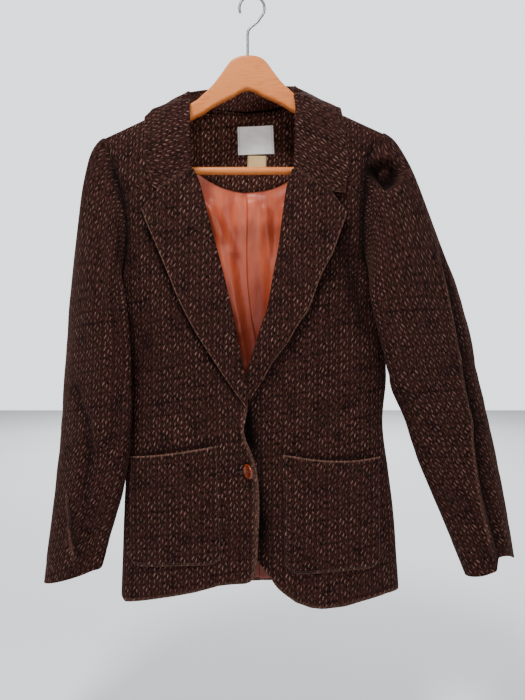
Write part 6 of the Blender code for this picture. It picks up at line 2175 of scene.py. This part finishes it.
@dataclass
class Studio:
    """Pale paper floor, soft lights and the camera where the photograph was taken from."""

    finishes: Finishes
    camera_place: tuple[float, float, float] = (0.0147, -1.05, -0.494)
    lens: float = 38.57
    floor_z: float = -1.06
    floor_half: float = 6.0
    backdrop: str = "EEF2F6"
    soft_sky: str = "E6EAEE"
    backdrop_strength: float = 2.2
    sky_strength: float = 0.62
    aim: tuple[float, float, float] = (0.0, 0.0, -0.42)
    # x, y, z, size and watts
    lights: Rows = ((-0.36, -0.95, 1.1, 0.4, 34), (0.4, -1.7, 0.1, 0.9, 10), (0.3, 1.5, 0.8, 1.2, 22))
    floor_light: tuple[float, float, float, float, float] = (0.0, 3.4, 0.9, 3.0, 110)

    def link(self, name: str, data: bpy.types.ID, place: Sequence[float]) -> bpy.types.Object:
        """Puts a light or a camera in the scene."""
        thing = bpy.data.objects.new(name, data)
        thing.location = place
        bpy.context.scene.collection.objects.link(thing)
        return thing

    def light_up(self) -> None:
        """Places the soft lights and the world's light."""
        for i, (x, y, z, width, watts) in enumerate((*self.lights, self.floor_light)):
            data = bpy.data.lights.new(f"soft_light_{i}", "AREA")
            data.energy, data.size = watts, width
            lamp = self.link(data.name, data, (x, y, z))
            aim = Vector(self.aim if i < len(self.lights) else (x, y, self.floor_z))
            lamp.rotation_euler = (aim - lamp.location).to_track_quat("-Z", "Y").to_euler()
        world = bpy.data.worlds.new("studio")
        world.use_nodes = True
        tree = world.node_tree
        seen = add(tree, "Background", {"Color": linear(self.backdrop), "Strength": self.backdrop_strength})
        around = add(tree, "Background", {"Color": linear(self.soft_sky), "Strength": self.sky_strength})
        ray = add(tree, "LightPath").outputs["Is Camera Ray"]
        both = add(tree, "MixShader", {0: ray, 1: around, 2: seen})
        feed(tree, tree.nodes["World Output"].inputs["Surface"], both)
        bpy.context.scene.world = world

    def build(self) -> None:
        """Places the floor, the lights and the camera."""
        far, floor_z = self.floor_half / MM, self.floor_z / MM
        corners = [(x * far, y * far, floor_z) for x, y in ((-1, -1), (1, -1), (1, 1), (-1, 1))]
        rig.stage(mesh_object("paper_floor", corners, [(0, 1, 2, 3)], [self.finishes.paper]))
        self.light_up()
        data = bpy.data.cameras.new("photo_camera")
        data.lens, data.sensor_width, data.clip_start = self.lens, 36.0, 0.01
        camera = self.link("photo_camera", data, self.camera_place)
        camera.rotation_euler = (pi / 2, 0, 0)
        bpy.context.scene.camera = camera


def corners_of(box: Sequence[Sequence[float]]) -> list[list[float]]:
    """A box as plain numbers."""
    return [[float(v) for v in corner] for corner in box]


def main() -> None:
    """Builds the blazer and its hanger round the frame, and keeps both boxes."""
    logging.basicConfig(level=logging.INFO, format="%(name)s: %(message)s")
    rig.load()
    solids = corners_of(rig.bounds())
    finishes = Finishes()
    form = BodyForm()
    Panels(form, finishes).build()
    Sleeves(form, finishes).build()
    Tailoring(form, finishes).build()
    Inside(form, finishes).build()
    Button(form, finishes).build()
    Hanger(form, finishes).build()
    Studio(finishes).build()
    with open("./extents.json", "w", encoding="utf-8") as kept:
        json.dump({"cad": solids, "visual": corners_of(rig.bounds())}, kept)


if __name__ == "__main__":
    main()
